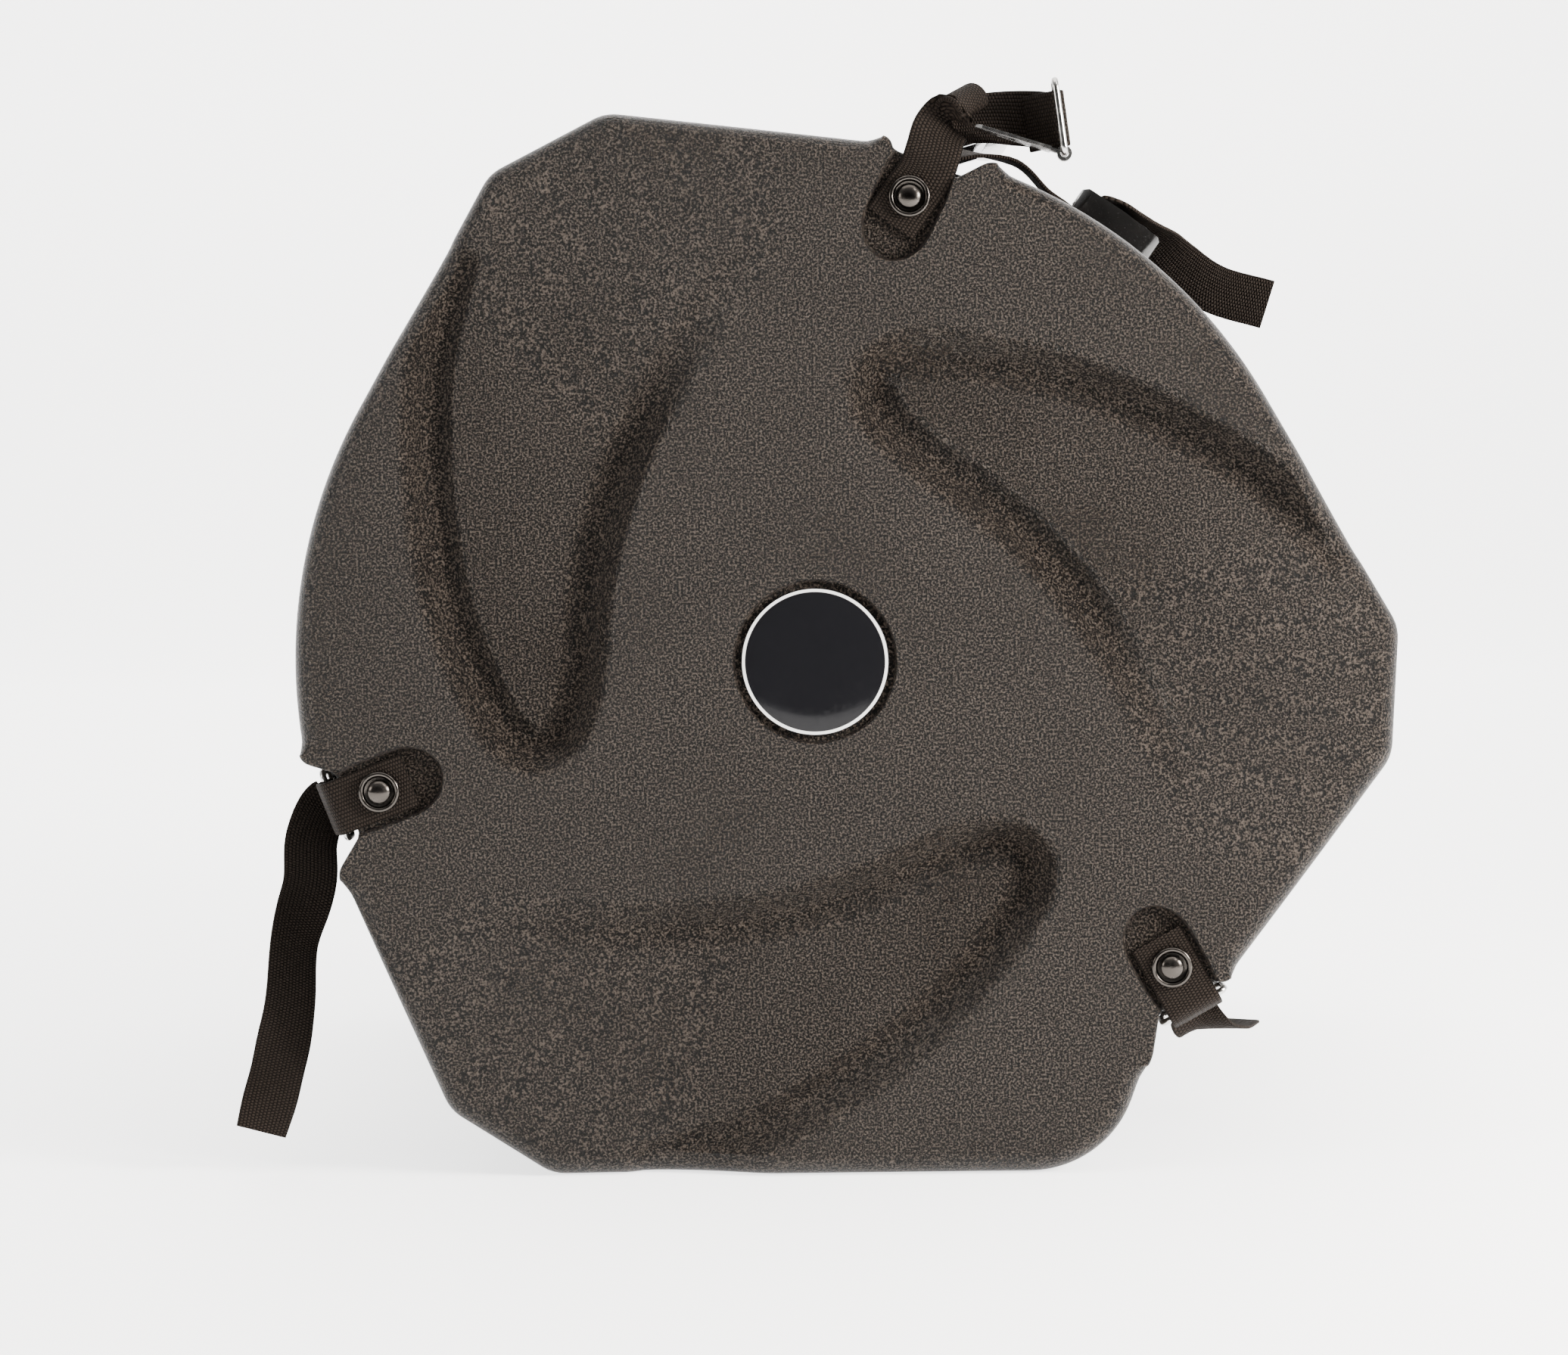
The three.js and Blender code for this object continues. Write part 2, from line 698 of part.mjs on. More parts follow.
function lidShell() {
  const rings = [...lidRimRings(), section(lid_skirt, 0)];
  let shell = toSolid(cappedSolid(lidFace(), rings, sectionCentre(lid_skirt)));
  const inner_round = wall;
  let hollow = lofted([
    section(lid_inner_level, wall + inner_round, lidDraftAt(lid_inner_level)),
    section(lid_inner_level + inner_round, wall, lidDraftAt(lid_inner_level + inner_round)),
    section(lid_skirt + overrun, wall, lidDraftAt(lid_skirt + overrun)),
  ]);
  const centre_bay = seatAt(0, 0, quarter_deg).solid(
    faceHole(lid_centre_radius, lid_centre_level, lid_inner_level + overrun));
  hollow = hollow.add(centre_bay);
  for (const seat of seats) {
    hollow = hollow.subtract(channelSolid(seat, wall, -overrun, lid_skirt + 2 * overrun));
    const bay = seat.solid(faceHole(washer_bay_radius, pocket_depth + wall, lid_inner_level + overrun));
    hollow = hollow.add(bay);
  }
  shell = shell.subtract(hollow);
  shell = shell.subtract(seatAt(0, 0, quarter_deg).solid(
    faceHole(badge_recess_radius, -overrun, badge_recess_depth, 2 * round_segments)));
  for (const seat of seats) {
    shell = shell.subtract(channelSolid(seat, 0, -overrun, lid_skirt + overrun));
    shell = shell.subtract(seat.solid(prismAlongY(pocketOutline(), -overrun, pocket_depth)));
    shell = shell.subtract(seat.solid(faceHole(rivet_hole, -overrun, lid_inner_level)));
  }
  return toGeometry(shell);
}

function badgeDisc() {
  const back = badge_recess_depth - seat_gap;
  const front = back - badge_thickness;
  const geometry = turned([
    [0, front], [badge_radius - badge_edge_round, front], [badge_radius, front + badge_edge_round],
    [badge_radius, back], [0, back],
  ], badge_segments);
  geometry.rotateX(-Math.PI / 2);
  geometry.translate(0, face_y, axis_height);
  return geometry;
}

function foamPad(y_from, inset, draft) {
  let pad = lofted([
    section(y_from, inset, draft),
    section(y_from + foam_thickness, inset, draft),
  ]);
  for (const seat of seats) {
    pad = pad.subtract(channelSolid(seat, inset, y_from - overrun, y_from + foam_thickness + overrun));
  }
  return toGeometry(pad);
}

// Base

const base_front = lid_skirt + neck_clearance;
const neck_front = base_front - neck_length;
const neck_inset = wall + neck_clearance;
const base_bay = case_depth - wall;
const base_channel_end = channel_length + wall;

function baseShell() {
  const body_rings = [
    section(base_front, 0),
    section(case_depth - back_round, 0, base_draft),
    ...Array.from({ length: rim_steps }, (_, k) => {
      const angle = rad((quarter_deg * (k + 1)) / rim_steps);
      return section(case_depth - back_round * (1 - Math.sin(angle)),
        back_round * (1 - Math.cos(angle)), base_draft);
    }),
  ];
  let shell = lofted(body_rings);
  let neck = lofted([
    section(neck_front, neck_inset, lidDraftAt(neck_front)),
    section(base_front + overrun, neck_inset, lidDraftAt(base_front + overrun)),
  ]);
  const cavity_inset = neck_inset + neck_wall;
  let hollow = lofted([
    section(neck_front - overrun, cavity_inset, lidDraftAt(neck_front - overrun)),
    section(base_front + neck_wall, cavity_inset, lidDraftAt(base_front + neck_wall)),
    section(base_front + neck_wall + neck_ramp, wall),
    section(base_bay - back_round, wall, base_draft),
    section(base_bay, wall + back_round, base_draft),
  ]);
  const pad = box(-handle_pad_width / 2, handle_pad_width / 2, handle_front - overrun,
    handle_front + handle_length + overrun, -handle_plate_width / 4, handle_pad_height);
  shell = shell.add(handle_seat.solid(pad));
  for (const seat of seats) {
    shell = shell.subtract(channelSolid(seat, 0, base_front - overrun, channel_length));
    neck = neck.subtract(channelSolid(seat, neck_inset, neck_front - overrun, base_front + tool_gap));
    neck = neck.subtract(channelSolid(seat, 0, base_front - overrun, base_front + 2 * overrun));
    hollow = hollow.subtract(
      channelSolid(seat, cavity_inset, neck_front - 2 * overrun, base_front + neck_wall));
    hollow = hollow.subtract(channelSolid(seat, wall, base_front, base_channel_end));
  }
  shell = shell.add(neck).subtract(hollow);
  for (const seat of seats) {
    const hole = roundHole(rivet_hole, channel_floor - 2 * wall, channel_floor + overrun);
    hole.translate(0, base_rivet_depth, 0);
    shell = shell.subtract(seat.solid(hole));
  }
  for (const [x, y] of handleRivetPlaces()) {
    const hole = roundHole(rivet_hole, -handle_plate_width / 2, handle_pad_height + overrun);
    hole.translate(x, y, 0);
    shell = shell.subtract(handle_seat.solid(hole));
  }
  return toGeometry(shell);
}

// Webbing: a flat ribbon swept along points, each with the direction of the ribbon's width

function ribbon(stations, samples) {
  const centre = new THREE.CatmullRomCurve3(stations.map((s) => s.point));
  const widths = new THREE.CatmullRomCurve3(stations.map((s) => s.wide));
  const rings = [];
  for (let i = 0; i <= samples; i += 1) {
    const along = centre.getTangent(i / samples);
    const wide = widths.getPoint(i / samples);
    wide.addScaledVector(along, -wide.dot(along)).setLength(webbing_width / 2);
    const thick = along.clone().cross(wide).setLength(webbing_thickness / 2);
    const at = centre.getPoint(i / samples);
    rings.push([
      at.clone().add(wide).add(thick), at.clone().sub(wide).add(thick),
      at.clone().sub(wide).sub(thick), at.clone().add(wide).sub(thick),
    ]);
  }
  return ringSolid(rings, centre.getPoint(0), centre.getPoint(1));
}

// An eye of webbing round a wire, with its axis along x at the origin
function webbingEye() {
  const inner = wire_radius + bar_clearance;
  return { inner, outer: inner + webbing_thickness };
}

const pocket_ride = pocket_depth - seat_gap - webbing_thickness / 2;

// Where a closed tab bends over the rim, as shares of the webbing's thickness and the pocket's depth
const tab_rise_shares = [1.5, 1.8];
const tab_deep_shares = [2, 2.2];

function closedTab(tab_seat) {
  const eye = webbingEye();
  const edge = channel_floor + seat_gap;
  const half = webbing_thickness / 2;
  const path = [
    [pocket_ride, -tab_end_length, half], [pocket_ride, edge - 2 * webbing_thickness, half],
    [pocket_ride + seat_gap, edge, half], [pocket_depth + half, edge + webbing_thickness, half],
    [tab_deep_shares[0] * pocket_depth, edge + tab_rise_shares[0] * webbing_thickness, half],
    [tab_deep_shares[1] * pocket_depth, edge + tab_rise_shares[1] * webbing_thickness, 2 * half],
    [ring_front - eye.outer / 2, ring_height, 2 * half],
  ];
  const outward = [];
  const inward = [];
  path.forEach(([y, z, thick], i) => {
    const [before, after] = [path[Math.max(i - 1, 0)], path[Math.min(i + 1, path.length - 1)]];
    const way = new THREE.Vector2(after[0] - before[0], after[1] - before[1]).normalize();
    outward.push([y - way.y * thick, z + way.x * thick]);
    inward.unshift([y + way.y * thick, z - way.x * thick]);
  });
  const strip = prismAlongX([...outward, ...inward], webbing_width);
  let tab = toSolid(strip);
  tab = tab.add(toSolid(crossBar(eye.outer, webbing_width, ring_front, ring_height)));
  tab = tab.subtract(toSolid(crossBar(eye.inner, webbing_width + overrun, ring_front, ring_height)));
  tab = tab.subtract(toSolid(faceHole(rivet_hole, -overrun, pocket_depth + overrun)));
  const geometry = toGeometry(tab);
  geometry.applyMatrix4(tab_seat.matrix);
  return geometry;
}

// A round bar along x
function crossBar(radius, length, y, z) {
  const geometry = new THREE.CylinderGeometry(radius, radius, length, round_segments);
  geometry.rotateZ(Math.PI / 2);
  geometry.translate(0, y, z);
  return geometry;
}

// The open tab: over the rim, one curl back on itself, then off to the right.
// Rows are x, depth, height and the width direction, places as shares of the webbing width.
const open_tab_shares = [
  [0.29, 0.113, 0.387, 0.8, 0, -0.6],
  [0.445, 0.08, 0.81, 0.9, 0.05, -0.4],
  [0.545, 0.2, 1.13, 0.95, 0.25, -0.1],
  [0.73, 0.42, 1.36, 0.75, 0.6, 0.2],
  [1, 0.56, 1.44, 0.58, 0.76, 0.3],
  [1.167, 0.48, 1.565, 0.52, 0.79, 0.33],
  [1.1, 0.443, 1.75, 0.52, 0.79, 0.33],
  [0.944, 0.504, 1.859, 0.52, 0.79, 0.33],
  [0.786, 0.62, 1.826, 0.52, 0.79, 0.33],
  [0.72, 0.73, 1.67, 0.5, 0.78, 0.38],
  [0.706, 0.887, 1.49, 0.3, 0.7, 0.6],
  [0.827, 1.05, 1.41, 0.1, 0.55, 0.83],
  [1.13, 1.153, 1.43, 0, 0.45, 0.9],
  [1.53, 1.16, 1.45, 0, 0.35, 0.93],
  [1.935, 1.1, 1.43, -0.05, 0.15, 0.97],
  [2.34, 0.95, 1.39, -0.1, 0.02, 0.99],
  [2.58, 0.73, 1.37, -0.13, 0, 0.99],
];
const open_plate_way_shares = [-0.93, 0.19, 0.3];
const open_ring_shares = { far: [2.7, 0.645, 1.37], bar: [-0.13, 0, 0.99], side: [-0.03, -0.99, -0.03] };

function openPoint(x, y, z) {
  const home = seats[0].point(0, 0, 0);
  return home.add(new THREE.Vector3(x, y, z).multiplyScalar(webbing_width));
}

function openTab(tab_seat) {
  const start = [
    { point: tab_seat.point(0, pocket_ride, -tab_end_length), wide: tab_seat.way(1, 0, 0) },
    { point: tab_seat.point(0, pocket_ride, 0), wide: tab_seat.way(1, 0, 0) },
  ];
  const free = open_tab_shares.map(([x, y, z, wx, wy, wz]) =>
    ({ point: openPoint(x, y, z), wide: new THREE.Vector3(wx, wy, wz) }));
  const eye = webbingEye();
  const bar = openRingFrame();
  let tab = toSolid(ribbon([...start, ...free], 3 * (start.length + free.length - 1)));
  const along_bar = (radius, length) => toSolid(crossBar(radius, length, 0, 0).applyMatrix4(bar));
  tab = tab.add(along_bar(eye.outer, webbing_width)).subtract(along_bar(eye.inner, webbing_width + overrun));
  tab = tab.subtract(tab_seat.solid(faceHole(rivet_hole, -overrun, pocket_depth + overrun)));
  return toGeometry(tab);
}

// Frame of the open ring: x along its bars, y from the webbing's bar to the free bar
function openRingFrame() {
  const x_axis = new THREE.Vector3(...open_ring_shares.bar).normalize();
  const y_axis = new THREE.Vector3(...open_ring_shares.side);
  y_axis.addScaledVector(x_axis, -y_axis.dot(x_axis)).normalize();
  const frame = new THREE.Matrix4().makeBasis(x_axis, y_axis, x_axis.clone().cross(y_axis));
  return frame.setPosition(openPoint(...open_ring_shares.far));
}

// A wire ring in its own frame: bars along x, the first one at y = 0
function wireRing() {
  const [half, bend] = [ring_length / 2, ring_bend];
  const path = roundedRectangle(-half, half, 0, ring_pitch, bend, bend_steps - 1);
  const middle = new THREE.Vector3(0, ring_pitch / 2, 0);
  const rings = path.map(([x, y], i) => {
    const before = path[(i + path.length - 1) % path.length];
    const after = path[(i + 1) % path.length];
    const along = new THREE.Vector3(after[0] - before[0], after[1] - before[1], 0).normalize();
    const side = new THREE.Vector3(along.y, -along.x, 0);
    return Array.from({ length: wire_sides }, (_, k) => {
      const angle = (2 * Math.PI * k) / wire_sides;
      return new THREE.Vector3(x, y, wire_radius * Math.sin(angle))
        .addScaledVector(side, wire_radius * Math.cos(angle));
    });
  });
  const points = rings.flat();
  const triangles = [];
  rings.forEach((_, r) => {
    const next = (r + 1) % rings.length;
    for (let i = 0; i < wire_sides; i += 1) {
      const j = (i + 1) % wire_sides;
      const [a, b] = [r * wire_sides + i, r * wire_sides + j];
      const [c, d] = [next * wire_sides + i, next * wire_sides + j];
      triangles.push([a, b, d], [a, d, c]);
    }
  });
  return closedGeometry(points.map((p) => p.sub(middle)), triangles).translate(0, ring_pitch / 2, 0);
}

// Catch plate in its own frame: knuckle round the wire at the origin, tongue along +y
function catchPlate() {
  const inner = wire_radius + bar_clearance;
  const outer = inner + plate_thickness;
  const [half, thick] = [plate_width / 2, plate_thickness / 2];
  const neck_half = plate_knuckle_width / 2;
  const shoulder = outer + plate_corner;
  const tongue = [
    [neck_half, inner + thick], [neck_half, shoulder], [half, shoulder],
    [half, plate_length - plate_corner], [half - plate_corner, plate_length],
    [-half + plate_corner, plate_length], [-half, plate_length - plate_corner],
    [-half, shoulder], [-neck_half, shoulder], [-neck_half, inner + thick],
  ];
  let plate = toSolid(prismAlongZ(tongue, -thick, thick));
  plate = plate.add(toSolid(crossBar(outer, plate_knuckle_width, 0, 0)));
  plate = plate.subtract(toSolid(crossBar(inner, plate_knuckle_width + overrun, 0, 0)));
  const window_y = plateWindowStart();
  plate = plate.subtract(toSolid(box(-plate_window_width / 2, plate_window_width / 2,
    window_y, window_y + plate_window_length, -overrun, overrun)));
  return toGeometry(plate);
}

const knuckle_y = ring_front + ring_pitch;
const plane_in_housing = ring_height - channel_floor - housing_lift;
const foot_y = button_setback + (button_length - button_foot_length) / 2;

function plateWindowStart() {
  const foot_from_knuckle = housing_front + foot_y - knuckle_y;
  return foot_from_knuckle - (plate_window_length - button_foot_length) / 2;
}

// Buckle, in its own frame: y from the mouth to the rear, z from the underside

function buckleHousing() {
  const half = housing_width / 2;
  const side = prismAlongX([
    [0, housing_crown], [housing_crown, 0], [housing_length - housing_crown, 0],
    [housing_length, housing_crown], [housing_length, housing_height - 2 * housing_crown],
    [housing_length - 2 * housing_crown, housing_height - housing_crown / 2],
    [housing_length / 2, housing_height], [2 * housing_crown, housing_height - housing_crown / 2],
    [0, housing_height - 2 * housing_crown],
  ], housing_width);
  const plan = prismAlongZ(
    roundedRectangle(-half, half, 0, housing_length, housing_corner), -overrun, housing_height + overrun);
  let housing = toSolid(side).intersect(toSolid(plan));
  const slot_half = (plate_width + 2 * plate_slot_margin) / 2;
  const slot_floor = plane_in_housing - plate_thickness / 2 - plate_slot_margin;
  const slot_top = plane_in_housing + plate_thickness / 2 + plate_slot_margin;
  const slot_end = knuckle_y + plate_length - housing_front + plate_slot_margin + overrun / 2;
  housing = housing.subtract(toSolid(box(-slot_half, slot_half, -overrun, slot_end, slot_floor, slot_top)));
  const window_half = button_width / 2 + seat_gap;
  housing = housing.subtract(toSolid(box(-window_half, window_half, button_setback - seat_gap,
    button_setback + button_length + seat_gap, slot_top - tool_gap, housing_height + overrun)));
  const bay_half = spring_width / 2 + seat_gap;
  const bay_end = springRear() + seat_gap;
  housing = housing.subtract(toSolid(box(-bay_half, bay_half, bay_end - spring_length - 2 * seat_gap, bay_end,
    slot_floor - spring_bay_depth, slot_floor + tool_gap)));
  const strap_half = webbing_width / 2 + seat_gap;
  const { bar_y, bar_z } = strapBar();
  const turn = strap_bar_radius + seat_gap + webbing_thickness;
  housing = housing.subtract(toSolid(box(-strap_half, strap_half, bar_y - turn - seat_gap,
    bar_y + tool_gap, -overrun, housing_height + overrun)));
  housing = housing.subtract(toSolid(box(-strap_half, strap_half, bar_y - tool_gap, housing_length + overrun,
    -overrun, bar_z)));
  housing = housing.add(toSolid(crossBar(strap_bar_radius, housing_width - housing_crown, bar_y, bar_z)));
  return toGeometry(housing);
}

function strapBar() {
  return {
    bar_y: housing_length - strap_bar_inset,
    bar_z: seat_gap - housing_lift + webbing_thickness + seat_gap + strap_bar_radius,
  };
}

function springRear() {
  return button_setback + button_length + overrun;
}

function releaseButton() {
  const [half, foot_half] = [button_width / 2, button_foot_width / 2];
  const top = housing_height + button_proud;
  const pad_low = top - button_pad_height;
  const pad_end = button_setback + button_length;
  const rise = button_proud / 2;
  let button = toSolid(prismAlongX([
    [button_setback, pad_low], [pad_end, pad_low], [pad_end, top - rise], [pad_end - 2 * rise, top],
    [(button_setback + pad_end) / 2, top - rise], [button_setback + 2 * rise, top],
    [button_setback, top - rise],
  ], 2 * half));
  const foot_low = plane_in_housing + plate_thickness / 2 + seat_gap;
  button = button.add(toSolid(box(-foot_half, foot_half, foot_y, foot_y + button_foot_length,
    foot_low, pad_low + tool_gap)));
  return toGeometry(button);
}

function latchSpring() {
  const slot_floor = plane_in_housing - plate_thickness / 2 - plate_slot_margin;
  const low = slot_floor - spring_bay_depth + seat_gap;
  const rear = springRear();
  const tooth_from = foot_y + seat_gap;
  const tooth_to = foot_y + button_foot_length - seat_gap;
  const tooth_top = plane_in_housing + plate_thickness / 2;
  const under = plane_in_housing - plate_thickness / 2 - plate_slot_margin;
  return prismAlongX([
    [rear, low], [rear, low + spring_thickness], [tooth_to + spring_thickness, under],
    [tooth_to, under], [tooth_to, tooth_top], [tooth_from + spring_thickness, tooth_top],
    [tooth_from, under - spring_thickness], [tooth_to, under - spring_thickness],
    [rear - spring_length / 4, low],
  ], spring_width);
}

// Base straps

const strap_ride = channel_floor + seat_gap + webbing_thickness / 2;

// Run of a base strap from its cut end, under the buckle's bar and up out of the buckle
function closedStrapStart(seat) {
  const { bar_y, bar_z } = strapBar();
  const [y, z] = [housing_front + bar_y, channel_floor + housing_lift + bar_z];
  const turn = strap_bar_radius + seat_gap + webbing_thickness / 2;
  const wide = seat.way(1, 0, 0);
  const station = (depth, out) => ({ point: seat.point(0, depth, out), wide });
  const slant = turn * Math.SQRT1_2;
  return [
    station(base_rivet_depth + base_strap_end, strap_ride), station(base_rivet_depth, strap_ride),
    station(lid_skirt + overrun, strap_ride), station(y + turn, strap_ride), station(y, z - turn),
    station(y - slant, z - slant),
    station(y - turn, z), station(y - turn, z + turn),
  ];
}

// Free tails. Rows are x, depth, height from where the tail leaves the buckle and the
// direction of the width, places as shares of the webbing width.
const tail_shares = [
  [],
  [
    [-0.33, -0.2, -0.2, 0.53, -0.1, -0.85], [-0.52, -0.7, -0.75, 0.9, 0.1, -0.5],
    [-0.5, -1.15, -1.5, 0.968, 0, -0.25], [-0.72, -1.7, -2.5, 0.75, 0.55, -0.28],
    [-0.78, -2.1, -3.7, 0.8, 0.55, 0.2], [-0.98, -2.4, -4.8, 0.89, 0.1, 0.4],
    [-1.26, -2.7, -5.9, 0.8, 0.5, -0.2],
  ],
  [
    [0.17, 0.1, -0.5, 0.85, 0.1, 0.5], [0.5, 0.45, -0.72, 0.75, -0.6, 0.2],
    [0.85, 1, -0.82, 0.7, -0.7, 0.05], [1.1, 1.7, -0.84, 0.75, -0.65, 0],
  ],
];

function closedStrap(seat, shares) {
  const start = closedStrapStart(seat);
  const { bar_y, bar_z } = strapBar();
  const turn = strap_bar_radius + seat_gap + webbing_thickness / 2;
  const exit = seat.point(0, housing_front + bar_y - turn, channel_floor + housing_lift + bar_z + 3 * turn);
  const wide = seat.way(1, 0, 0);
  const tail = shares.map(([x, y, z, wx, wy, wz]) => ({
    point: exit.clone().add(new THREE.Vector3(x, y, z).multiplyScalar(webbing_width)),
    wide: new THREE.Vector3(wx, wy, wz),
  }));
  const stations = [...start, { point: exit, wide }, ...tail];
  return withRivetHole(ribbon(stations, 3 * (stations.length - 1)), seat);
}

function withRivetHole(geometry, seat) {
  const hole = roundHole(rivet_hole, channel_floor - overrun, strap_ride + overrun);
  hole.translate(0, base_rivet_depth, 0);
  return toGeometry(toSolid(geometry).subtract(seat.solid(hole)));
}

// The open fastening's buckle lies on the case's side, to the right of its channel
const open_buckle_deg = 54;
const open_buckle_depth = 112;
const open_buckle_lift = 2.6;

// The open strap's way from the channel. Rows are across, depth and height, as shares of half
// the webbing's width, the webbing's width and half that width, then the width direction.
const open_rise_shares = [[0, -0.7, 0.1, 1, 0, 0], [0.15, -1, 0.9, 0.8, -0.6, 0]];
const open_arch_deg = 67;
const open_slack_shares = [1, 0.3];
const open_turn_shares = [3, 4.5];

// Its free tail. Rows are the angle about the case, the height over its side as a share of
// half the webbing's width, the depth from the buckle as a share of that width, then the
// width direction.
const open_tail_shares = [
  [60, 2.4, 1, 0.3, -0.8, 0.2],
  [54, 1.5, 1.4, 0.2, -0.9, 0.3],
  [48, 1.2, 1.5, 0.25, -0.6, 0.75],
  [42, 1.7, 1.5, 0.28, -0.4, 0.85],
  [36, 3.3, 1.45, 0.25, -0.35, 0.9],
];

function openBuckleMatrix() {
  const angle = rad(open_buckle_deg);
  const outward = new THREE.Vector3(Math.cos(angle), 0, Math.sin(angle));
  const along = new THREE.Vector3(-Math.sin(angle), 0, Math.cos(angle));
  const matrix = new THREE.Matrix4().makeBasis(along.clone().cross(outward), along, outward);
  const middle = new THREE.Vector3(0, face_y + open_buckle_depth, axis_height)
    .addScaledVector(outward, case_radius + open_buckle_lift)
    .addScaledVector(along, -housing_length / 2);
  return matrix.setPosition(middle);
}

function openStrap(seat) {
  const buckle = openBuckleMatrix();
  const { bar_y, bar_z } = strapBar();
  const turn = strap_bar_radius + seat_gap + webbing_thickness / 2;
  const in_buckle = (y, z) => ({
    point: new THREE.Vector3(0, y, z).applyMatrix4(buckle),
    wide: new THREE.Vector3(1, 0, 0).transformDirection(buckle),
  });
  const wide = seat.way(1, 0, 0);
  const lift = webbing_width / 2;
  const slant = turn * Math.SQRT1_2;
  const rise = open_rise_shares.map(([x, y, z, wx, wy, wz]) => ({
    point: seat.point(x * lift, base_rivet_depth + y * webbing_width, strap_ride + z * lift),
    wide: seat.way(wx, wy, wz),
  }));
  const polar = ([deg, height, depth, wx, wy, wz]) => ({
    point: new THREE.Vector3(
      (case_radius + height * lift) * Math.cos(rad(deg)),
      face_y + open_buckle_depth + depth * webbing_width,
      axis_height + (case_radius + height * lift) * Math.sin(rad(deg)),
    ),
    wide: new THREE.Vector3(wx, wy, wz),
  });
  const stations = [
    { point: seat.point(0, base_rivet_depth + base_strap_end, strap_ride), wide },
    { point: seat.point(0, base_rivet_depth, strap_ride), wide },
    ...rise, polar([open_arch_deg, 1, 0, 0, -1, 0]),
    ...open_slack_shares.map((share) => in_buckle(housing_length + share * lift, bar_z - turn)),
    in_buckle(bar_y, bar_z - turn), in_buckle(bar_y - slant, bar_z - slant),
    in_buckle(bar_y - turn, bar_z), in_buckle(bar_y - turn, bar_z + turn),
    ...open_turn_shares.map((share) => in_buckle(bar_y - turn, bar_z + share * turn)),
    ...open_tail_shares.map(polar),
  ];
  return withRivetHole(ribbon(stations, 3 * (stations.length - 1)), seat);
}

// Rivets and washers, along local z with the clamped webbing's top at height zero

function cupWasher() {
  const [low, top] = [seat_gap, seat_gap + cup_height];
  const bore = rivet_hole;
  return turned([
    [bore, low], [cup_radius, low], [cup_radius, low + cup_floor], [cup_radius - cup_floor, top],
    [cup_radius - 2 * cup_floor, top], [rivet_dome_radius + seat_gap, low + cup_floor],
    [bore, low + cup_floor], [bore, low],
  ]);
}

function rivet(grip) {
  const head = seat_gap + cup_floor + seat_gap;
  const tail = -grip - washer_thickness - 2 * seat_gap;
  const dome = Array.from({ length: bend_steps }, (_, k) => {
    const angle = rad((quarter_deg * k) / bend_steps);
    return [rivet_dome_radius * Math.cos(angle), head + rivet_dome_height * Math.sin(angle)];
  });
  return turned([
    [0, tail - rivet_tail_length], [rivet_tail_radius, tail - rivet_tail_length],
    [rivet_tail_radius, tail], [rivet_shank_radius, tail], [rivet_shank_radius, head],
    ...dome, [0, head + rivet_dome_height],
  ]);
}

function backWasher(grip) {
  const top = -grip - seat_gap;
  return turned([
    [rivet_hole, top - washer_thickness], [washer_radius, top - washer_thickness],
    [washer_radius, top], [rivet_hole, top], [rivet_hole, top - washer_thickness],
  ]);
}

const tab_grip = wall + seat_gap + webbing_thickness;

// Handle, in the handle seat's frame

function handleRivetPlaces() {
  const rear = handle_front + handle_length;
  return [handle_front + handle_rivet_inset, rear - handle_rivet_inset].flatMap((y) =>
    [-handle_rivet_across, handle_rivet_across].map((x) => [x, y]));
}

const plate_seat = handle_pad_height + seat_gap;
const plate_top = plate_seat + handle_plate_thickness;
const pivot_z = plate_top + pivot_height;

function lugPlaces() {
  const rear = handle_front + handle_length;
  return [
    [handle_front + lug_inset, handle_front + lug_inset + lug_thickness],
    [rear - lug_inset - lug_thickness, rear - lug_inset],
  ];
}

function handlePlate() {
  const half = handle_plate_width / 2;
  let plate = toSolid(prismAlongZ(roundedRectangle(-half, half, handle_front, handle_front + handle_length,
    half / 2), plate_seat, plate_top));
  for (const [from, to] of lugPlaces()) {
    const lug = [
      [pivot_across - lug_foot, plate_top - tool_gap], [pivot_across + lug_foot, plate_top - tool_gap],
      ...Array.from({ length: 2 * bend_steps + 1 }, (_, k) => {
        const angle = (Math.PI * k) / (2 * bend_steps);
        return [pivot_across + lug_radius * Math.cos(angle), pivot_z + lug_radius * Math.sin(angle)];
      }),
    ];
    plate = plate.add(toSolid(prismAlongY(lug, from, to)));
  }
  const rear = handle_front + handle_length;
  plate = plate.subtract(toSolid(pinBar(pin_radius + pin_clearance, handle_front, rear)));
  for (const [x, y] of handleRivetPlaces()) {
    plate = plate.subtract(toSolid(roundHole(rivet_hole, 0, plate_top + overrun).translate(x, y, 0)));
  }
  return toGeometry(plate);
}

function pinBar(radius, y_from, y_to) {
  const geometry = new THREE.CylinderGeometry(radius, radius, y_to - y_from, round_segments);
  geometry.translate(pivot_across, (y_from + y_to) / 2, pivot_z);
  return geometry;
}

// Where the grip's centre lies when the handle leans on its stop
function gripCentre() {
  const angle = rad(arm_rise_deg);
  return [pivot_across + arm_reach * Math.cos(angle), pivot_z + arm_reach * Math.sin(angle)];
}

function armPlaces() {
  const [[, front], [rear]] = lugPlaces();
  return [
    [front + seat_gap, front + seat_gap + arm_thickness],
    [rear - seat_gap - arm_thickness, rear - seat_gap],
  ];
}

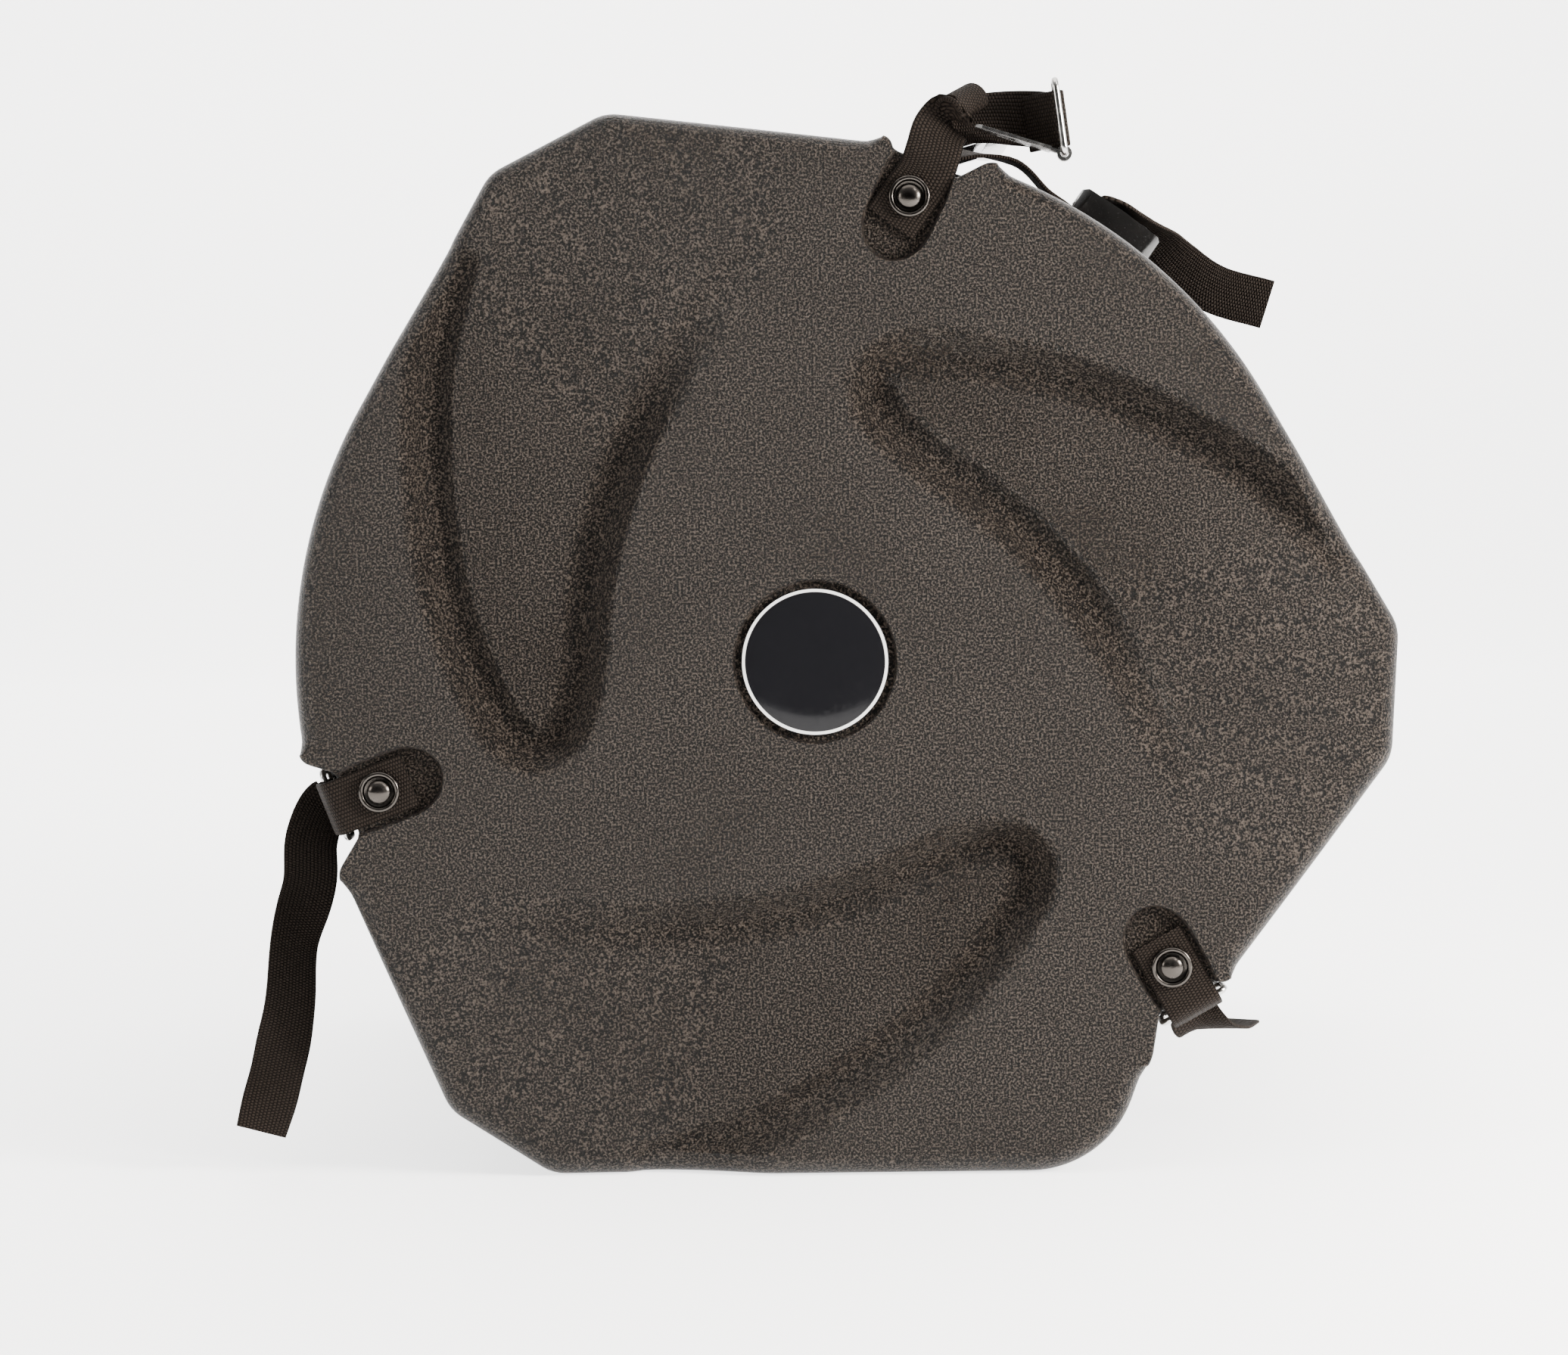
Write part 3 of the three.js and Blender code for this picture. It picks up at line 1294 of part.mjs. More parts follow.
function handleBail() {
  const [gx, gz] = gripCentre();
  const angle = rad(arm_rise_deg);
  const ends = armPlaces();
  const half = arm_height / 2;
  const side = [-Math.sin(angle) * half, Math.cos(angle) * half];
  const arm = [
    ...Array.from({ length: 2 * bend_steps + 1 }, (_, k) => {
      const turn = angle + Math.PI / 2 + (Math.PI * k) / (2 * bend_steps);
      return [pivot_across + half * Math.cos(turn), pivot_z + half * Math.sin(turn)];
    }),
    [gx - side[0], gz - side[1]], [gx + side[0], gz + side[1]],
  ];
  const grip = Array.from({ length: round_segments }, (_, k) => {
    const turn = (2 * Math.PI * k) / round_segments;
    const [u, v] = [grip_radius * Math.cos(turn), grip_radius * grip_flat_share * Math.sin(turn)];
    return [gx + u * Math.cos(angle) - v * Math.sin(angle), gz + u * Math.sin(angle) + v * Math.cos(angle)];
  });
  let bail = toSolid(prismAlongY(grip, ends[0][0], ends[1][1]));
  for (const [from, to] of ends) bail = bail.add(toSolid(prismAlongY(arm, from, to)));
  const rear = handle_front + handle_length;
  bail = bail.subtract(toSolid(pinBar(pin_radius + pin_clearance, handle_front, rear)));
  return toGeometry(bail);
}

function handlePin(lug, arm) {
  const from = Math.min(lug[0], arm[0]) + seat_gap;
  const to = Math.max(lug[1], arm[1]) - seat_gap;
  return pinBar(pin_radius, from, to);
}

// How far the drafted wall has drawn in below the handle seat, at a depth from the lid face
function wallDropAt(depth) {
  const lean = 1 + (flat_drop * Math.sin(rad(handle_turn_deg))) / case_radius;
  return baseDraftAt(depth) * lean + handle_rivet_across ** 2 / (2 * case_radius);
}

function handleRivet(x, y) {
  const low = -wall - wallDropAt(y) - 2 * seat_gap - rivet_tail_length;
  const inner = low + rivet_tail_length;
  const head = plate_top + seat_gap;
  return turned([
    [0, low], [rivet_tail_radius, low], [rivet_tail_radius, inner], [rivet_shank_radius, inner],
    [rivet_shank_radius, head], [handle_rivet_radius, head],
    [handle_rivet_top, head + handle_rivet_height], [0, head + handle_rivet_height],
  ]).translate(x, y, 0);
}

// Assembly

const floor_tom_case = new THREE.Group();
floor_tom_case.name = 'floor_tom_case';

function addMesh(parent, name, geometry, material) {
  const mesh = new THREE.Mesh(geometry, material);
  mesh.name = name;
  parent.add(mesh);
  return mesh;
}

function groupAt(matrix) {
  const group = new THREE.Group();
  matrix.decompose(group.position, group.quaternion, group.scale);
  floor_tom_case.add(group);
  return group;
}

addMesh(floor_tom_case, 'lid_shell', lidShell(), shell_plastic);
addMesh(floor_tom_case, 'badge', badgeDisc(), badge_gloss);
addMesh(floor_tom_case, 'lid_foam_pad',
  foamPad(lid_inner_level + seat_gap, 2 * wall + foam_side_gap, lid_draft), foam);
addMesh(floor_tom_case, 'base_shell', baseShell(), shell_plastic);
addMesh(floor_tom_case, 'base_foam_pad',
  foamPad(base_bay - foam_thickness - seat_gap, wall + back_round + foam_side_gap, base_draft), foam);

fastenings.forEach((fastening, i) => {
  const number = i + 1;
  const seat = seats[i];
  const tab_seat = tab_seats[i];

  const tab = fastening.closed ? closedTab(tab_seat) : openTab(tab_seat);
  addMesh(floor_tom_case, `lid_tab_${number}`, tab, webbing);
  const strap = fastening.closed ? closedStrap(seat, tail_shares[i]) : openStrap(seat);
  addMesh(floor_tom_case, `base_strap_${number}`, strap, webbing);

  const on_face = groupAt(seat.matrix.clone()
    .multiply(new THREE.Matrix4().makeTranslation(0, pocket_ride - webbing_thickness / 2, 0))
    .multiply(new THREE.Matrix4().makeRotationX(Math.PI / 2)));
  addMesh(on_face, `lid_cup_${number}`, cupWasher(), gunmetal);
  addMesh(on_face, `lid_rivet_${number}`, rivet(tab_grip), gunmetal);
  addMesh(on_face, `lid_back_washer_${number}`, backWasher(tab_grip), steel);

  const on_side = groupAt(seat.matrix.clone().multiply(
    new THREE.Matrix4().makeTranslation(0, base_rivet_depth, strap_ride + webbing_thickness / 2)));
  addMesh(on_side, `base_cup_${number}`, cupWasher(), gunmetal);
  addMesh(on_side, `base_rivet_${number}`, rivet(tab_grip), gunmetal);
  addMesh(on_side, `base_back_washer_${number}`, backWasher(tab_grip), steel);

  const ring_frame = fastening.closed
    ? seat.matrix.clone().multiply(new THREE.Matrix4().makeTranslation(0, ring_front, ring_height))
    : openRingFrame();
  addMesh(groupAt(ring_frame), `ring_${number}`, wireRing(), steel);
  const plate_frame = fastening.closed
    ? seat.matrix.clone().multiply(new THREE.Matrix4().makeTranslation(0, knuckle_y, ring_height))
    : openPlateFrame();
  addMesh(groupAt(plate_frame), `catch_plate_${number}`, catchPlate(), steel);

  const buckle = groupAt(fastening.closed
    ? seat.matrix.clone().multiply(
      new THREE.Matrix4().makeTranslation(0, housing_front, channel_floor + housing_lift))
    : openBuckleMatrix());
  addMesh(buckle, `buckle_housing_${number}`, buckleHousing(), gloss_plastic);
  addMesh(buckle, `release_button_${number}`, releaseButton(), gloss_plastic);
  addMesh(buckle, `latch_spring_${number}`, latchSpring(), steel);
});

// The open catch plate hangs on the short side of its ring
function openPlateFrame() {
  const ring = openRingFrame();
  const side = new THREE.Vector3(-ring_length / 2, ring_pitch / 2, 0).applyMatrix4(ring);
  const x_axis = new THREE.Vector3(0, 1, 0).transformDirection(ring);
  const y_axis = new THREE.Vector3(...open_plate_way_shares);
  y_axis.addScaledVector(x_axis, -y_axis.dot(x_axis)).normalize();
  const frame = new THREE.Matrix4().makeBasis(x_axis, y_axis, x_axis.clone().cross(y_axis));
  return frame.setPosition(side);
}

const handle = groupAt(handle_seat.matrix);
addMesh(handle, 'handle_plate', handlePlate(), gloss_plastic);
addMesh(handle, 'handle_bail', handleBail(), gloss_plastic);
const [front_lug, rear_lug] = lugPlaces();
const [front_arm, rear_arm] = armPlaces();
addMesh(handle, 'handle_pin_front', handlePin(front_lug, front_arm), steel);
addMesh(handle, 'handle_pin_rear', handlePin(rear_lug, rear_arm), steel);
handleRivetPlaces().forEach(([x, y], i) => {
  addMesh(handle, `handle_rivet_${i + 1}`, handleRivet(x, y), gunmetal);
});

export default floor_tom_case;
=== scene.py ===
"""Looks of a moulded floor tom case, standing on its flat side with the lid towards the camera."""

import math

import bmesh
import bpy
import numpy as np
from mathutils import Matrix, Vector
from mathutils.geometry import delaunay_2d_cdt


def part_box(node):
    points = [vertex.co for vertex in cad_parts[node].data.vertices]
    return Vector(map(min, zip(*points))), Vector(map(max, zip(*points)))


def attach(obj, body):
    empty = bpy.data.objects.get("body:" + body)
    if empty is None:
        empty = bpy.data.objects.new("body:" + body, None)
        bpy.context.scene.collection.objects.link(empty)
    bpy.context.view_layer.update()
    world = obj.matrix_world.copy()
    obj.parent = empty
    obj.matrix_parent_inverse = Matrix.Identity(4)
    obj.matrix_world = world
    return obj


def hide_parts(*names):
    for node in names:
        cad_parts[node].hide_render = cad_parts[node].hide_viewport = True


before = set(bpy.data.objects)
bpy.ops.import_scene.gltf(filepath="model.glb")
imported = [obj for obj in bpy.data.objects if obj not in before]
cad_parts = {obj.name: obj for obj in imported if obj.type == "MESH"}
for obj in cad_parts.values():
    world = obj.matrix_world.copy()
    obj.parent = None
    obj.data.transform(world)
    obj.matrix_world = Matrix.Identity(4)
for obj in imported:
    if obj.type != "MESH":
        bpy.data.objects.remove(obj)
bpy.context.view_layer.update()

# The case's main sizes, in metres
FACE_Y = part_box("lid_shell")[0][1]
CASE_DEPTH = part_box("base_shell")[1][1] - FACE_Y
CASE_RADIUS = 0.234
FLAT_DROP = 0.232
LOBE_REACH = 0.263
LOBE_HALF_DEG = 6.4
LOBE_ROUND = 0.02
FLAT_CORNER_X = 0.551 * CASE_RADIUS
FLAT_CORNER_ROUND = 0.049
FLAT_CORNER_SLOPE_DEG = 70
WALL = 0.0045
LID_SKIRT = 0.1
LID_DRAFT = 0.0015
BASE_DRAFT = 0.003
RIM_ROUND = 0.01
BACK_ROUND = 0.014
EDGE_ROUND = 0.0018
LID_INNER_LEVEL = 0.017
NECK_LENGTH = 0.03
NECK_CLEARANCE = 0.0008
NECK_WALL = 0.004
NECK_RAMP = 0.008
SEAT_GAP = 0.0003
LOBE_COUNT = 3
LOBE_STEP_DEG = 360 / LOBE_COUNT

# Channels and pockets of the straps
CHANNEL_HALF_WIDTH = 0.0154
CHANNEL_FLOOR = 0.016
CHANNEL_FLARE = 0.045
CHANNEL_FLARE_DEG = 52
CHANNEL_LENGTH = 0.165
CHANNEL_END_SLOPE = 0.003
NOTCH_CORNER = 0.0045
POCKET_DEPTH = 0.004
POCKET_HALF_WIDTH = 0.0152
POCKET_MOUTH_HALF_WIDTH = 0.0142
POCKET_REACH = 0.0295
POCKET_END_LENGTH = 0.018
POCKET_EDGE = 0.0006

# Swirl on the lid: shares of the case radius by the angle back from a groove's closed end
SWIRL_TURN_DEG = 76.2
GROOVE_DEPTH = 0.011
LOBE_FACE_DROP = 0.007
GROOVE_OUTER_WIDTH = 0.0165
GROOVE_INNER_WIDTH = 0.009
SWIRL_FADE_DEG = (58, 106)
OUTER_ARM = [(66, 1.01), (55, 0.905), (40, 0.777), (25, 0.684), (11, 0.618), (4, 0.588)]
ARM_TURN = [(1.2, 0.56), (0.8, 0.53), (2.6, 0.502)]
INNER_ARM = [(8, 0.474), (16, 0.456), (32, 0.46), (55, 0.507), (75, 0.59), (95, 0.75), (108, 0.9)]
ARM_FAR = [(106, 1.7), (85, 1.7), (60, 1.7)]

# Badge
BADGE_RADIUS = 0.0329
BADGE_RECESS_RADIUS = 0.036
BADGE_RECESS_DEPTH = 0.0025
BADGE_THICKNESS = 0.0018
BADGE_RING_RADIUS = 0.0318
BADGE_RING_WIDTH = 0.0013

# Spacing of points on the mouldings
FILLET_STEPS = 16
ARC_STEPS = 90
EDGE_SAMPLES = 8000
OUTER_PITCH = 0.0028
NOTCH_POINTS = 44
CORNER_POINTS = 7
FADE_LENGTH = 0.012
RIM_STEPS = 8
BACK_INNER_STEPS = 4
RIM_MARGIN = 0.0008
EDGE_PITCH = 0.0016
GROOVE_PITCH = 0.004
ROW_GAP = 0.0009
FACE_PITCH = 0.006
LINE_STEPS = 12
RIBBON_STEPS = 8
WIRE_SIDES = 16
CORNER_STEPS = 8
TURN_SIDES = 56
BEVEL_FROM_DEG = 38

# Webbing and hardware
WEBBING_WIDTH = 0.0248
WEBBING_THICKNESS = 0.0018
WEAVE_MAP = "weave"
WEAVE_ROW = 0.0013
WEAVE_COLUMN = 0.0017
WIRE_RADIUS = 0.0015
BAR_CLEARANCE = 0.0003
RING_LENGTH = 0.032
RING_PITCH = 0.014
RING_BEND = 0.003
RING_HEIGHT = 0.0255
RING_FRONT = 0.027
TAB_END_LENGTH = 0.0145
CLOSED_TAB_BACK = 0.013
OPEN_TAB_BACK = 0.016
HOUSING_LENGTH = 0.044
HOUSING_FRONT = 0.052
HOUSING_LIFT = 0.0004
STRAP_BAR_RADIUS = 0.0022
STRAP_BAR_INSET = 0.005
BASE_RIVET_DEPTH = 0.135
BASE_STRAP_END = 0.013
HANDLE_TURN_DEG = 72.6
HANDLE_PAD_WIDTH = 0.0536
HANDLE_PAD_LENGTH = 0.1706
HANDLE_PAD_FRONT = 0.2048
HANDLE_PAD_CORNER = 0.006
HANDLE_PAD_PROFILE = [(-0.009, 0), (0.0008, 0), (0.00145, 0.0002), (0.00185, 0.0007), (0.00195, 0.0013)]
FOAM_THICKNESS = 0.012
FOAM_ROUND = 0.0025
FOAM_CROWN = 0.0008
FOAM_SIDE_GAP = 0.002
RIVET_SHANK = 0.0024
RIVET_HOLE = 0.0027

# The three fastenings, anticlockwise from the open one at the top
FASTENINGS = [
    {"inset": 0.0245, "rivet_deg": 77.8, "axis_deg": 64, "tab_deg": 54, "closed": False},
    {"inset": 0.031, "rivet_deg": 195.9, "axis_deg": 200.5, "tab_deg": 200.5, "closed": True},
    {"inset": 0.024, "rivet_deg": 318.6, "axis_deg": 299, "tab_deg": 299, "closed": True},
]


# Outline of the case, in (x, z) about its axis

def meet(first, second):
    """The point where two lines cross, each given as the angle of its normal and its reach"""
    (a, reach_a), (b, reach_b) = ((math.radians(deg), reach) for deg, reach in (first, second))
    det = math.cos(a) * math.sin(b) - math.sin(a) * math.cos(b)
    return np.array([
        (reach_a * math.sin(b) - reach_b * math.sin(a)) / det,
        (reach_b * math.cos(a) - reach_a * math.cos(b)) / det,
    ])


def arc(centre, radius, from_deg, to_deg, steps):
    angles = np.radians(np.linspace(from_deg, to_deg, steps + 1))
    return np.asarray(centre) + radius * np.stack([np.cos(angles), np.sin(angles)], axis=1)


def fillet(first, second, radius):
    centre = meet((first[0], first[1] - radius), (second[0], second[1] - radius))
    return arc(centre, radius, first[0], second[0], FILLET_STEPS)


def outline(inset):
    """The outer edge at an inset, anticlockwise, without the channels"""
    flank = LOBE_HALF_DEG + math.degrees(math.acos(CASE_RADIUS / LOBE_REACH))
    first_lobe = 270 - flank - LOBE_STEP_DEG
    lobes = [first_lobe + k * LOBE_STEP_DEG for k in range(LOBE_COUNT)]
    radius = CASE_RADIUS - inset
    cap = LOBE_REACH * math.cos(math.radians(LOBE_HALF_DEG)) - inset
    slope_deg = FLAT_CORNER_SLOPE_DEG + 270
    slope = (slope_deg, FLAT_CORNER_X * math.cos(math.radians(slope_deg))
             - FLAT_DROP * math.sin(math.radians(slope_deg)) - inset)
    flat = (270, FLAT_DROP - inset)
    right_a, left_a = (lobes[0] - flank, radius), (lobes[0] + flank, radius)
    left_c = (lobes[1] - flank, radius)
    low_b, top_b = (lobes[2] - flank, radius), (lobes[2] + flank, radius)
    cap_a, cap_c, cap_b = ((deg, cap) for deg in lobes)
    slope_meets = slope_deg - math.degrees(math.acos(slope[1] / radius))
    round_ = max(LOBE_ROUND - inset, EDGE_ROUND)
    about = (0, 0)
    stretches = [
        fillet(cap_b, top_b, round_),
        arc(about, radius, top_b[0] - 360, right_a[0], ARC_STEPS),
        fillet(right_a, cap_a, round_), fillet(cap_a, left_a, round_),
        arc(about, radius, left_a[0], left_c[0], ARC_STEPS),
        fillet(left_c, cap_c, round_), fillet(cap_c, flat, round_),
        fillet(flat, slope, FLAT_CORNER_ROUND - inset),
        arc(about, radius, slope_meets, low_b[0], FILLET_STEPS),
        fillet(low_b, cap_b, round_),
    ]
    return np.concatenate(stretches)


class Track:
    """A polyline in the plane, with a place for each distance along it"""

    def __init__(self, points, closed=False):
        self.points = np.asarray(points, float)
        if closed:
            self.points = np.concatenate([self.points, self.points[:1]])
        self.steps = np.diff(self.points, axis=0)
        lengths = np.linalg.norm(self.steps, axis=1)
        self.along = np.concatenate([[0], np.cumsum(lengths)])
        self.length = self.along[-1]
        self.closed = closed

    def at(self, distance):
        if self.closed:
            distance = np.mod(distance, self.length)
        return np.stack([np.interp(distance, self.along, column) for column in self.points.T], axis=-1)

    def spread(self, count):
        return self.at(np.linspace(0, self.length, count))

    def nearest(self, points):
        """Distances of points from the track, and the places on it that are nearest"""
        points = np.asarray(points, float).reshape(-1, 1, 2)
        start, way = self.points[:-1], self.steps
        share = ((points - start) * way).sum(-1) / np.maximum((way * way).sum(-1), 1e-18)
        share = np.clip(share, 0, 1)
        gaps = np.linalg.norm(points - start - share[..., None] * way, axis=-1)
        best = gaps.argmin(axis=1)
        rows = np.arange(len(best))
        place = self.along[best] + share[rows, best] * (self.along[best + 1] - self.along[best])
        return gaps[rows, best], place


def unit(vectors):
    """A vector, or each row of a table of them, at length one"""
    vectors = np.asarray(vectors, float)
    return vectors / np.linalg.norm(vectors, axis=-1, keepdims=True)


def smooth(value, low, high):
    t = np.clip((np.asarray(value, float) - low) / (high - low), 0, 1)
    return t * t * (3 - 2 * t)


def bezier(a, b, c, count):
    t = np.linspace(0, 1, count)[:, None]
    return (1 - t) ** 2 * a + 2 * t * (1 - t) * b + t ** 2 * c


class Seat:
    """A fastening's own frame: x across the strap, y into the depth, z outwards. In the plane,
    about the case's axis, it has an origin and its directions across and outward."""

    def __init__(self, fastening, way_key):
        radius = CASE_RADIUS - fastening["inset"]
        at, way = math.radians(fastening["rivet_deg"]), math.radians(fastening[way_key])
        x, z = radius * math.cos(at), radius * math.sin(at)
        self.plane = np.array([(x, z), (math.sin(way), -math.cos(way)), (math.cos(way), math.sin(way))])
        self.matrix = Matrix((
            (math.sin(way), 0, math.cos(way), x),
            (0, 1, 0, FACE_Y),
            (-math.cos(way), 0, math.sin(way), FLAT_DROP + z),
            (0, 0, 0, 1),
        ))

    def point(self, x, y, z):
        return np.array(self.matrix @ Vector((x, y, z)))

    def way(self, x, y, z):
        return np.array(self.matrix.to_3x3() @ Vector((x, y, z)))


SEATS = [Seat(fastening, "axis_deg") for fastening in FASTENINGS]
TAB_SEATS = [Seat(fastening, "tab_deg") for fastening in FASTENINGS]
FLARE_RISE = math.tan(math.radians(CHANNEL_FLARE_DEG))


def channel_floor(margin):
    """Half the width of a channel's floor and its height; from there the sides flare"""
    return CHANNEL_HALF_WIDTH + margin * math.tan(math.radians(CHANNEL_FLARE_DEG / 2)), CHANNEL_FLOOR - margin


def channel_profile(margin):
    """A channel's section in (across, outward), from its + side over the floor to its - side"""
    half, floor = channel_floor(margin)
    top = floor + CHANNEL_FLARE * FLARE_RISE
    side = half + CHANNEL_FLARE
    return np.array([(side, top), (half, floor), (-half, floor), (-side, top)])


def channel_cuts(edge, margin):
    """For each channel, in order along the edge: where the cut starts and ends, and its number"""
    cuts = []
    places = np.linspace(0, edge.length, EDGE_SAMPLES)
    dense = edge.at(places)
    half, floor = channel_floor(margin)
    for number, seat in enumerate(SEATS):
        origin, across, outward = seat.plane
        u, w = (dense - origin) @ across, (dense - origin) @ outward
        rise = FLARE_RISE * np.maximum(np.abs(u) - half, 0)
        inside = np.flatnonzero((np.abs(u) < CHANNEL_FLARE) & (w > floor + rise))
        cuts.append((places[inside[0]], places[inside[-1]], number))
    return sorted(cuts)


OUTER_EDGE = Track(outline(0), closed=True)
OUTER_CUTS = channel_cuts(OUTER_EDGE, 0)
OUTER_COUNTS = [round((cut[0] - OUTER_CUTS[k - 1][1] + (0 if k else OUTER_EDGE.length)) / OUTER_PITCH)
                for k, cut in enumerate(OUTER_CUTS)]


def ring_outline(inset=0.0, margin=0.0, filled=False):
    """The outline with its channels cut in, or filled up again, and each point's weight: one on
    the outer side, nought in a channel. The count of points is the same for every inset."""
    edge = Track(outline(inset), closed=True)
    if filled:
        scale = edge.length / OUTER_EDGE.length
        cuts = [(start * scale, end * scale, number) for start, end, number in OUTER_CUTS]
    else:
        cuts = channel_cuts(edge, margin)
    points, weights = [], []
    for k, (start, end, number) in enumerate(cuts):
        before = cuts[k - 1][1] - (0 if k else edge.length)
        places = np.linspace(before + NOTCH_CORNER, start - NOTCH_CORNER, OUTER_COUNTS[k])
        points.append(edge.at(places))
        weights.append(smooth(np.minimum(places - before, start - places), 0, FADE_LENGTH))
        notch_count = NOTCH_POINTS + 2 * CORNER_POINTS
        if filled:
            notch = edge.at(np.linspace(start - NOTCH_CORNER, end + NOTCH_CORNER, notch_count + 2)[1:-1])
        else:
            origin, across, outward = SEATS[number].plane
            profile = channel_profile(margin)
            wall = Track(origin + profile[:, :1] * across + profile[:, 1:] * outward)
            enter, leave = edge.at(start), edge.at(end)
            low, high = wall.nearest([enter, leave])[1]
            cut = wall.at(np.linspace(low + NOTCH_CORNER, high - NOTCH_CORNER, NOTCH_POINTS))
            notch = np.concatenate([
                bezier(edge.at(start - NOTCH_CORNER), enter, cut[0], CORNER_POINTS + 1)[1:],
                cut[1:-1],
                bezier(cut[-1], leave, edge.at(end + NOTCH_CORNER), CORNER_POINTS + 1)[:-1],
            ])
            notch = notch if len(notch) == notch_count else Track(notch).spread(notch_count)
        points.append(notch)
        weights.append(np.full(len(notch), float(filled)))
    return np.concatenate(points), np.concatenate(weights)


# The swirl on the lid face

def centripetal(points, per_span):
    """A Catmull-Rom curve through the points, its knots spaced by the root of their distances"""
    points = np.asarray(points, float)
    padded = np.concatenate([[2 * points[0] - points[1]], points, [2 * points[-1] - points[-2]]])
    out = []
    for k in range(len(points) - 1):
        p = padded[k:k + 4]
        gaps = np.maximum(np.linalg.norm(np.diff(p, axis=0), axis=1) ** 0.5, 1e-6)
        t = np.concatenate([[0], np.cumsum(gaps)])
        s = np.linspace(t[1], t[2], per_span, endpoint=False)[:, None]
        a = [((t[i + 1] - s) * p[i] + (s - t[i]) * p[i + 1]) / (t[i + 1] - t[i]) for i in range(3)]
        b = [((t[i + 2] - s) * a[i] + (s - t[i]) * a[i + 1]) / (t[i + 2] - t[i]) for i in range(2)]
        out.append(((t[2] - s) * b[0] + (s - t[1]) * b[1]) / (t[2] - t[1]))
    out.append(points[-1:])
    return np.concatenate(out)


def hairpin(number):
    """One groove: its middle line, and the region that it bounds on the lobe's side"""
    end_deg = SWIRL_TURN_DEG + number * LOBE_STEP_DEG

    def place(knots):
        angles = np.radians([end_deg - back for back, _ in knots])
        reach = CASE_RADIUS * np.array([share for _, share in knots])
        return reach[:, None] * np.stack([np.cos(angles), np.sin(angles)], axis=1)

    line = centripetal(place(OUTER_ARM + ARM_TURN + INNER_ARM), LINE_STEPS)
    return end_deg, Track(line), np.concatenate([line, place(ARM_FAR)])


HAIRPINS = [hairpin(number) for number in range(LOBE_COUNT)]


def within(region, points):
    """Which points lie inside a closed polygon"""
    points = np.asarray(points, float)
    x, z = points[:, 0], points[:, 1]
    odd = np.zeros(len(points), bool)
    for (ax, az), (bx, bz) in zip(region, np.roll(region, -1, axis=0)):
        if az == bz:
            continue
        odd ^= ((az > z) != (bz > z)) & (x < (bx - ax) * (z - az) / (bz - az) + ax)
    return odd


def back_from(end_deg, points):
    """The angle of points back from a groove's closed end"""
    angles = np.degrees(np.arctan2(points[:, 1], points[:, 0]))
    half_step = LOBE_STEP_DEG / 2
    return np.mod(end_deg - angles + half_step, 360) - half_step


def pocket_outline():
    """A pocket in (across, outward): a rounded inner end and sides that draw in towards the rim"""
    end = arc((0, 0), 1, 180, 360, 4 * FILLET_STEPS) * (POCKET_HALF_WIDTH, POCKET_END_LENGTH)
    end += (0, POCKET_END_LENGTH - POCKET_REACH)
    mouth = POCKET_MOUTH_HALF_WIDTH
    middle = (POCKET_HALF_WIDTH + mouth) / 2 + POCKET_EDGE
    rim, beyond = CHANNEL_FLOOR, 2 * CHANNEL_FLOOR
    right = [(middle, rim / 3), (mouth, rim), (mouth, beyond)]
    return np.concatenate([end, right, [(-x, z) for x, z in right[::-1]]])


def pocket_track(seat):
    origin, across, outward = seat.plane
    profile = pocket_outline()
    return Track(origin + profile[:, :1] * across + profile[:, 1:] * outward, closed=True)


POCKETS = [pocket_track(seat) for seat in SEATS]


def face_drop(points):
    """How far the lid face lies behind its foremost plane, at points about the case's axis"""
    points = np.asarray(points, float)
    drop = np.zeros(len(points))
    for end_deg, line, region in HAIRPINS:
        fade = 1 - smooth(back_from(end_deg, points), *SWIRL_FADE_DEG)
        distance = line.nearest(points)[0]
        outer = GROOVE_DEPTH * (1 - smooth(distance, 0, GROOVE_OUTER_WIDTH))
        inner = GROOVE_DEPTH + (LOBE_FACE_DROP - GROOVE_DEPTH) * smooth(distance, 0, GROOVE_INNER_WIDTH)
        drop = np.maximum(drop, np.where(within(region, points), inner, outer) * fade)
    for pocket in POCKETS:
        distance = pocket.nearest(points)[0]
        signed = np.where(within(pocket.points[:-1], points), distance, -distance)
        drop = np.maximum(drop, POCKET_DEPTH * smooth(signed, -POCKET_EDGE, POCKET_EDGE))
    reach = BADGE_RECESS_RADIUS - np.linalg.norm(points, axis=1)
    return np.maximum(drop, BADGE_RECESS_DEPTH * smooth(reach, -POCKET_EDGE, POCKET_EDGE))


class Sieve:
    """Keeps points that lie at least a gap apart from those kept before"""

    def __init__(self, cell):
        self.cell = cell
        self.cells = {}
        self.points = []

    def near(self, point, gap):
        reach = int(math.ceil(gap / self.cell))
        ci, cj = int(point[0] // self.cell), int(point[1] // self.cell)
        for i in range(ci - reach, ci + reach + 1):
            for j in range(cj - reach, cj + reach + 1):
                for x, z in self.cells.get((i, j), ()):
                    if (x - point[0]) ** 2 + (z - point[1]) ** 2 < gap * gap:
                        return True
        return False

    def add(self, points, gap, keep=None):
        for i, point in enumerate(points):
            if (keep is None or keep[i]) and not (gap and self.near(point, gap)):
                self.points.append((float(point[0]), float(point[1])))
                key = int(point[0] // self.cell), int(point[1] // self.cell)
                self.cells.setdefault(key, []).append(self.points[-1])


def offsets(track, pitch, asides):
    """Rows of points beside a track, at each distance aside from it"""
    count = max(4, round(track.length / pitch))
    places = (np.arange(count) + 0.5) * track.length / count
    at = track.at(places)
    way = track.at(places + pitch / 2) - track.at(places - pitch / 2)
    way /= np.maximum(np.linalg.norm(way, axis=1, keepdims=True), 1e-9)
    side = np.stack([way[:, 1], -way[:, 0]], axis=1)
    return np.concatenate([at + aside * side for aside in asides])


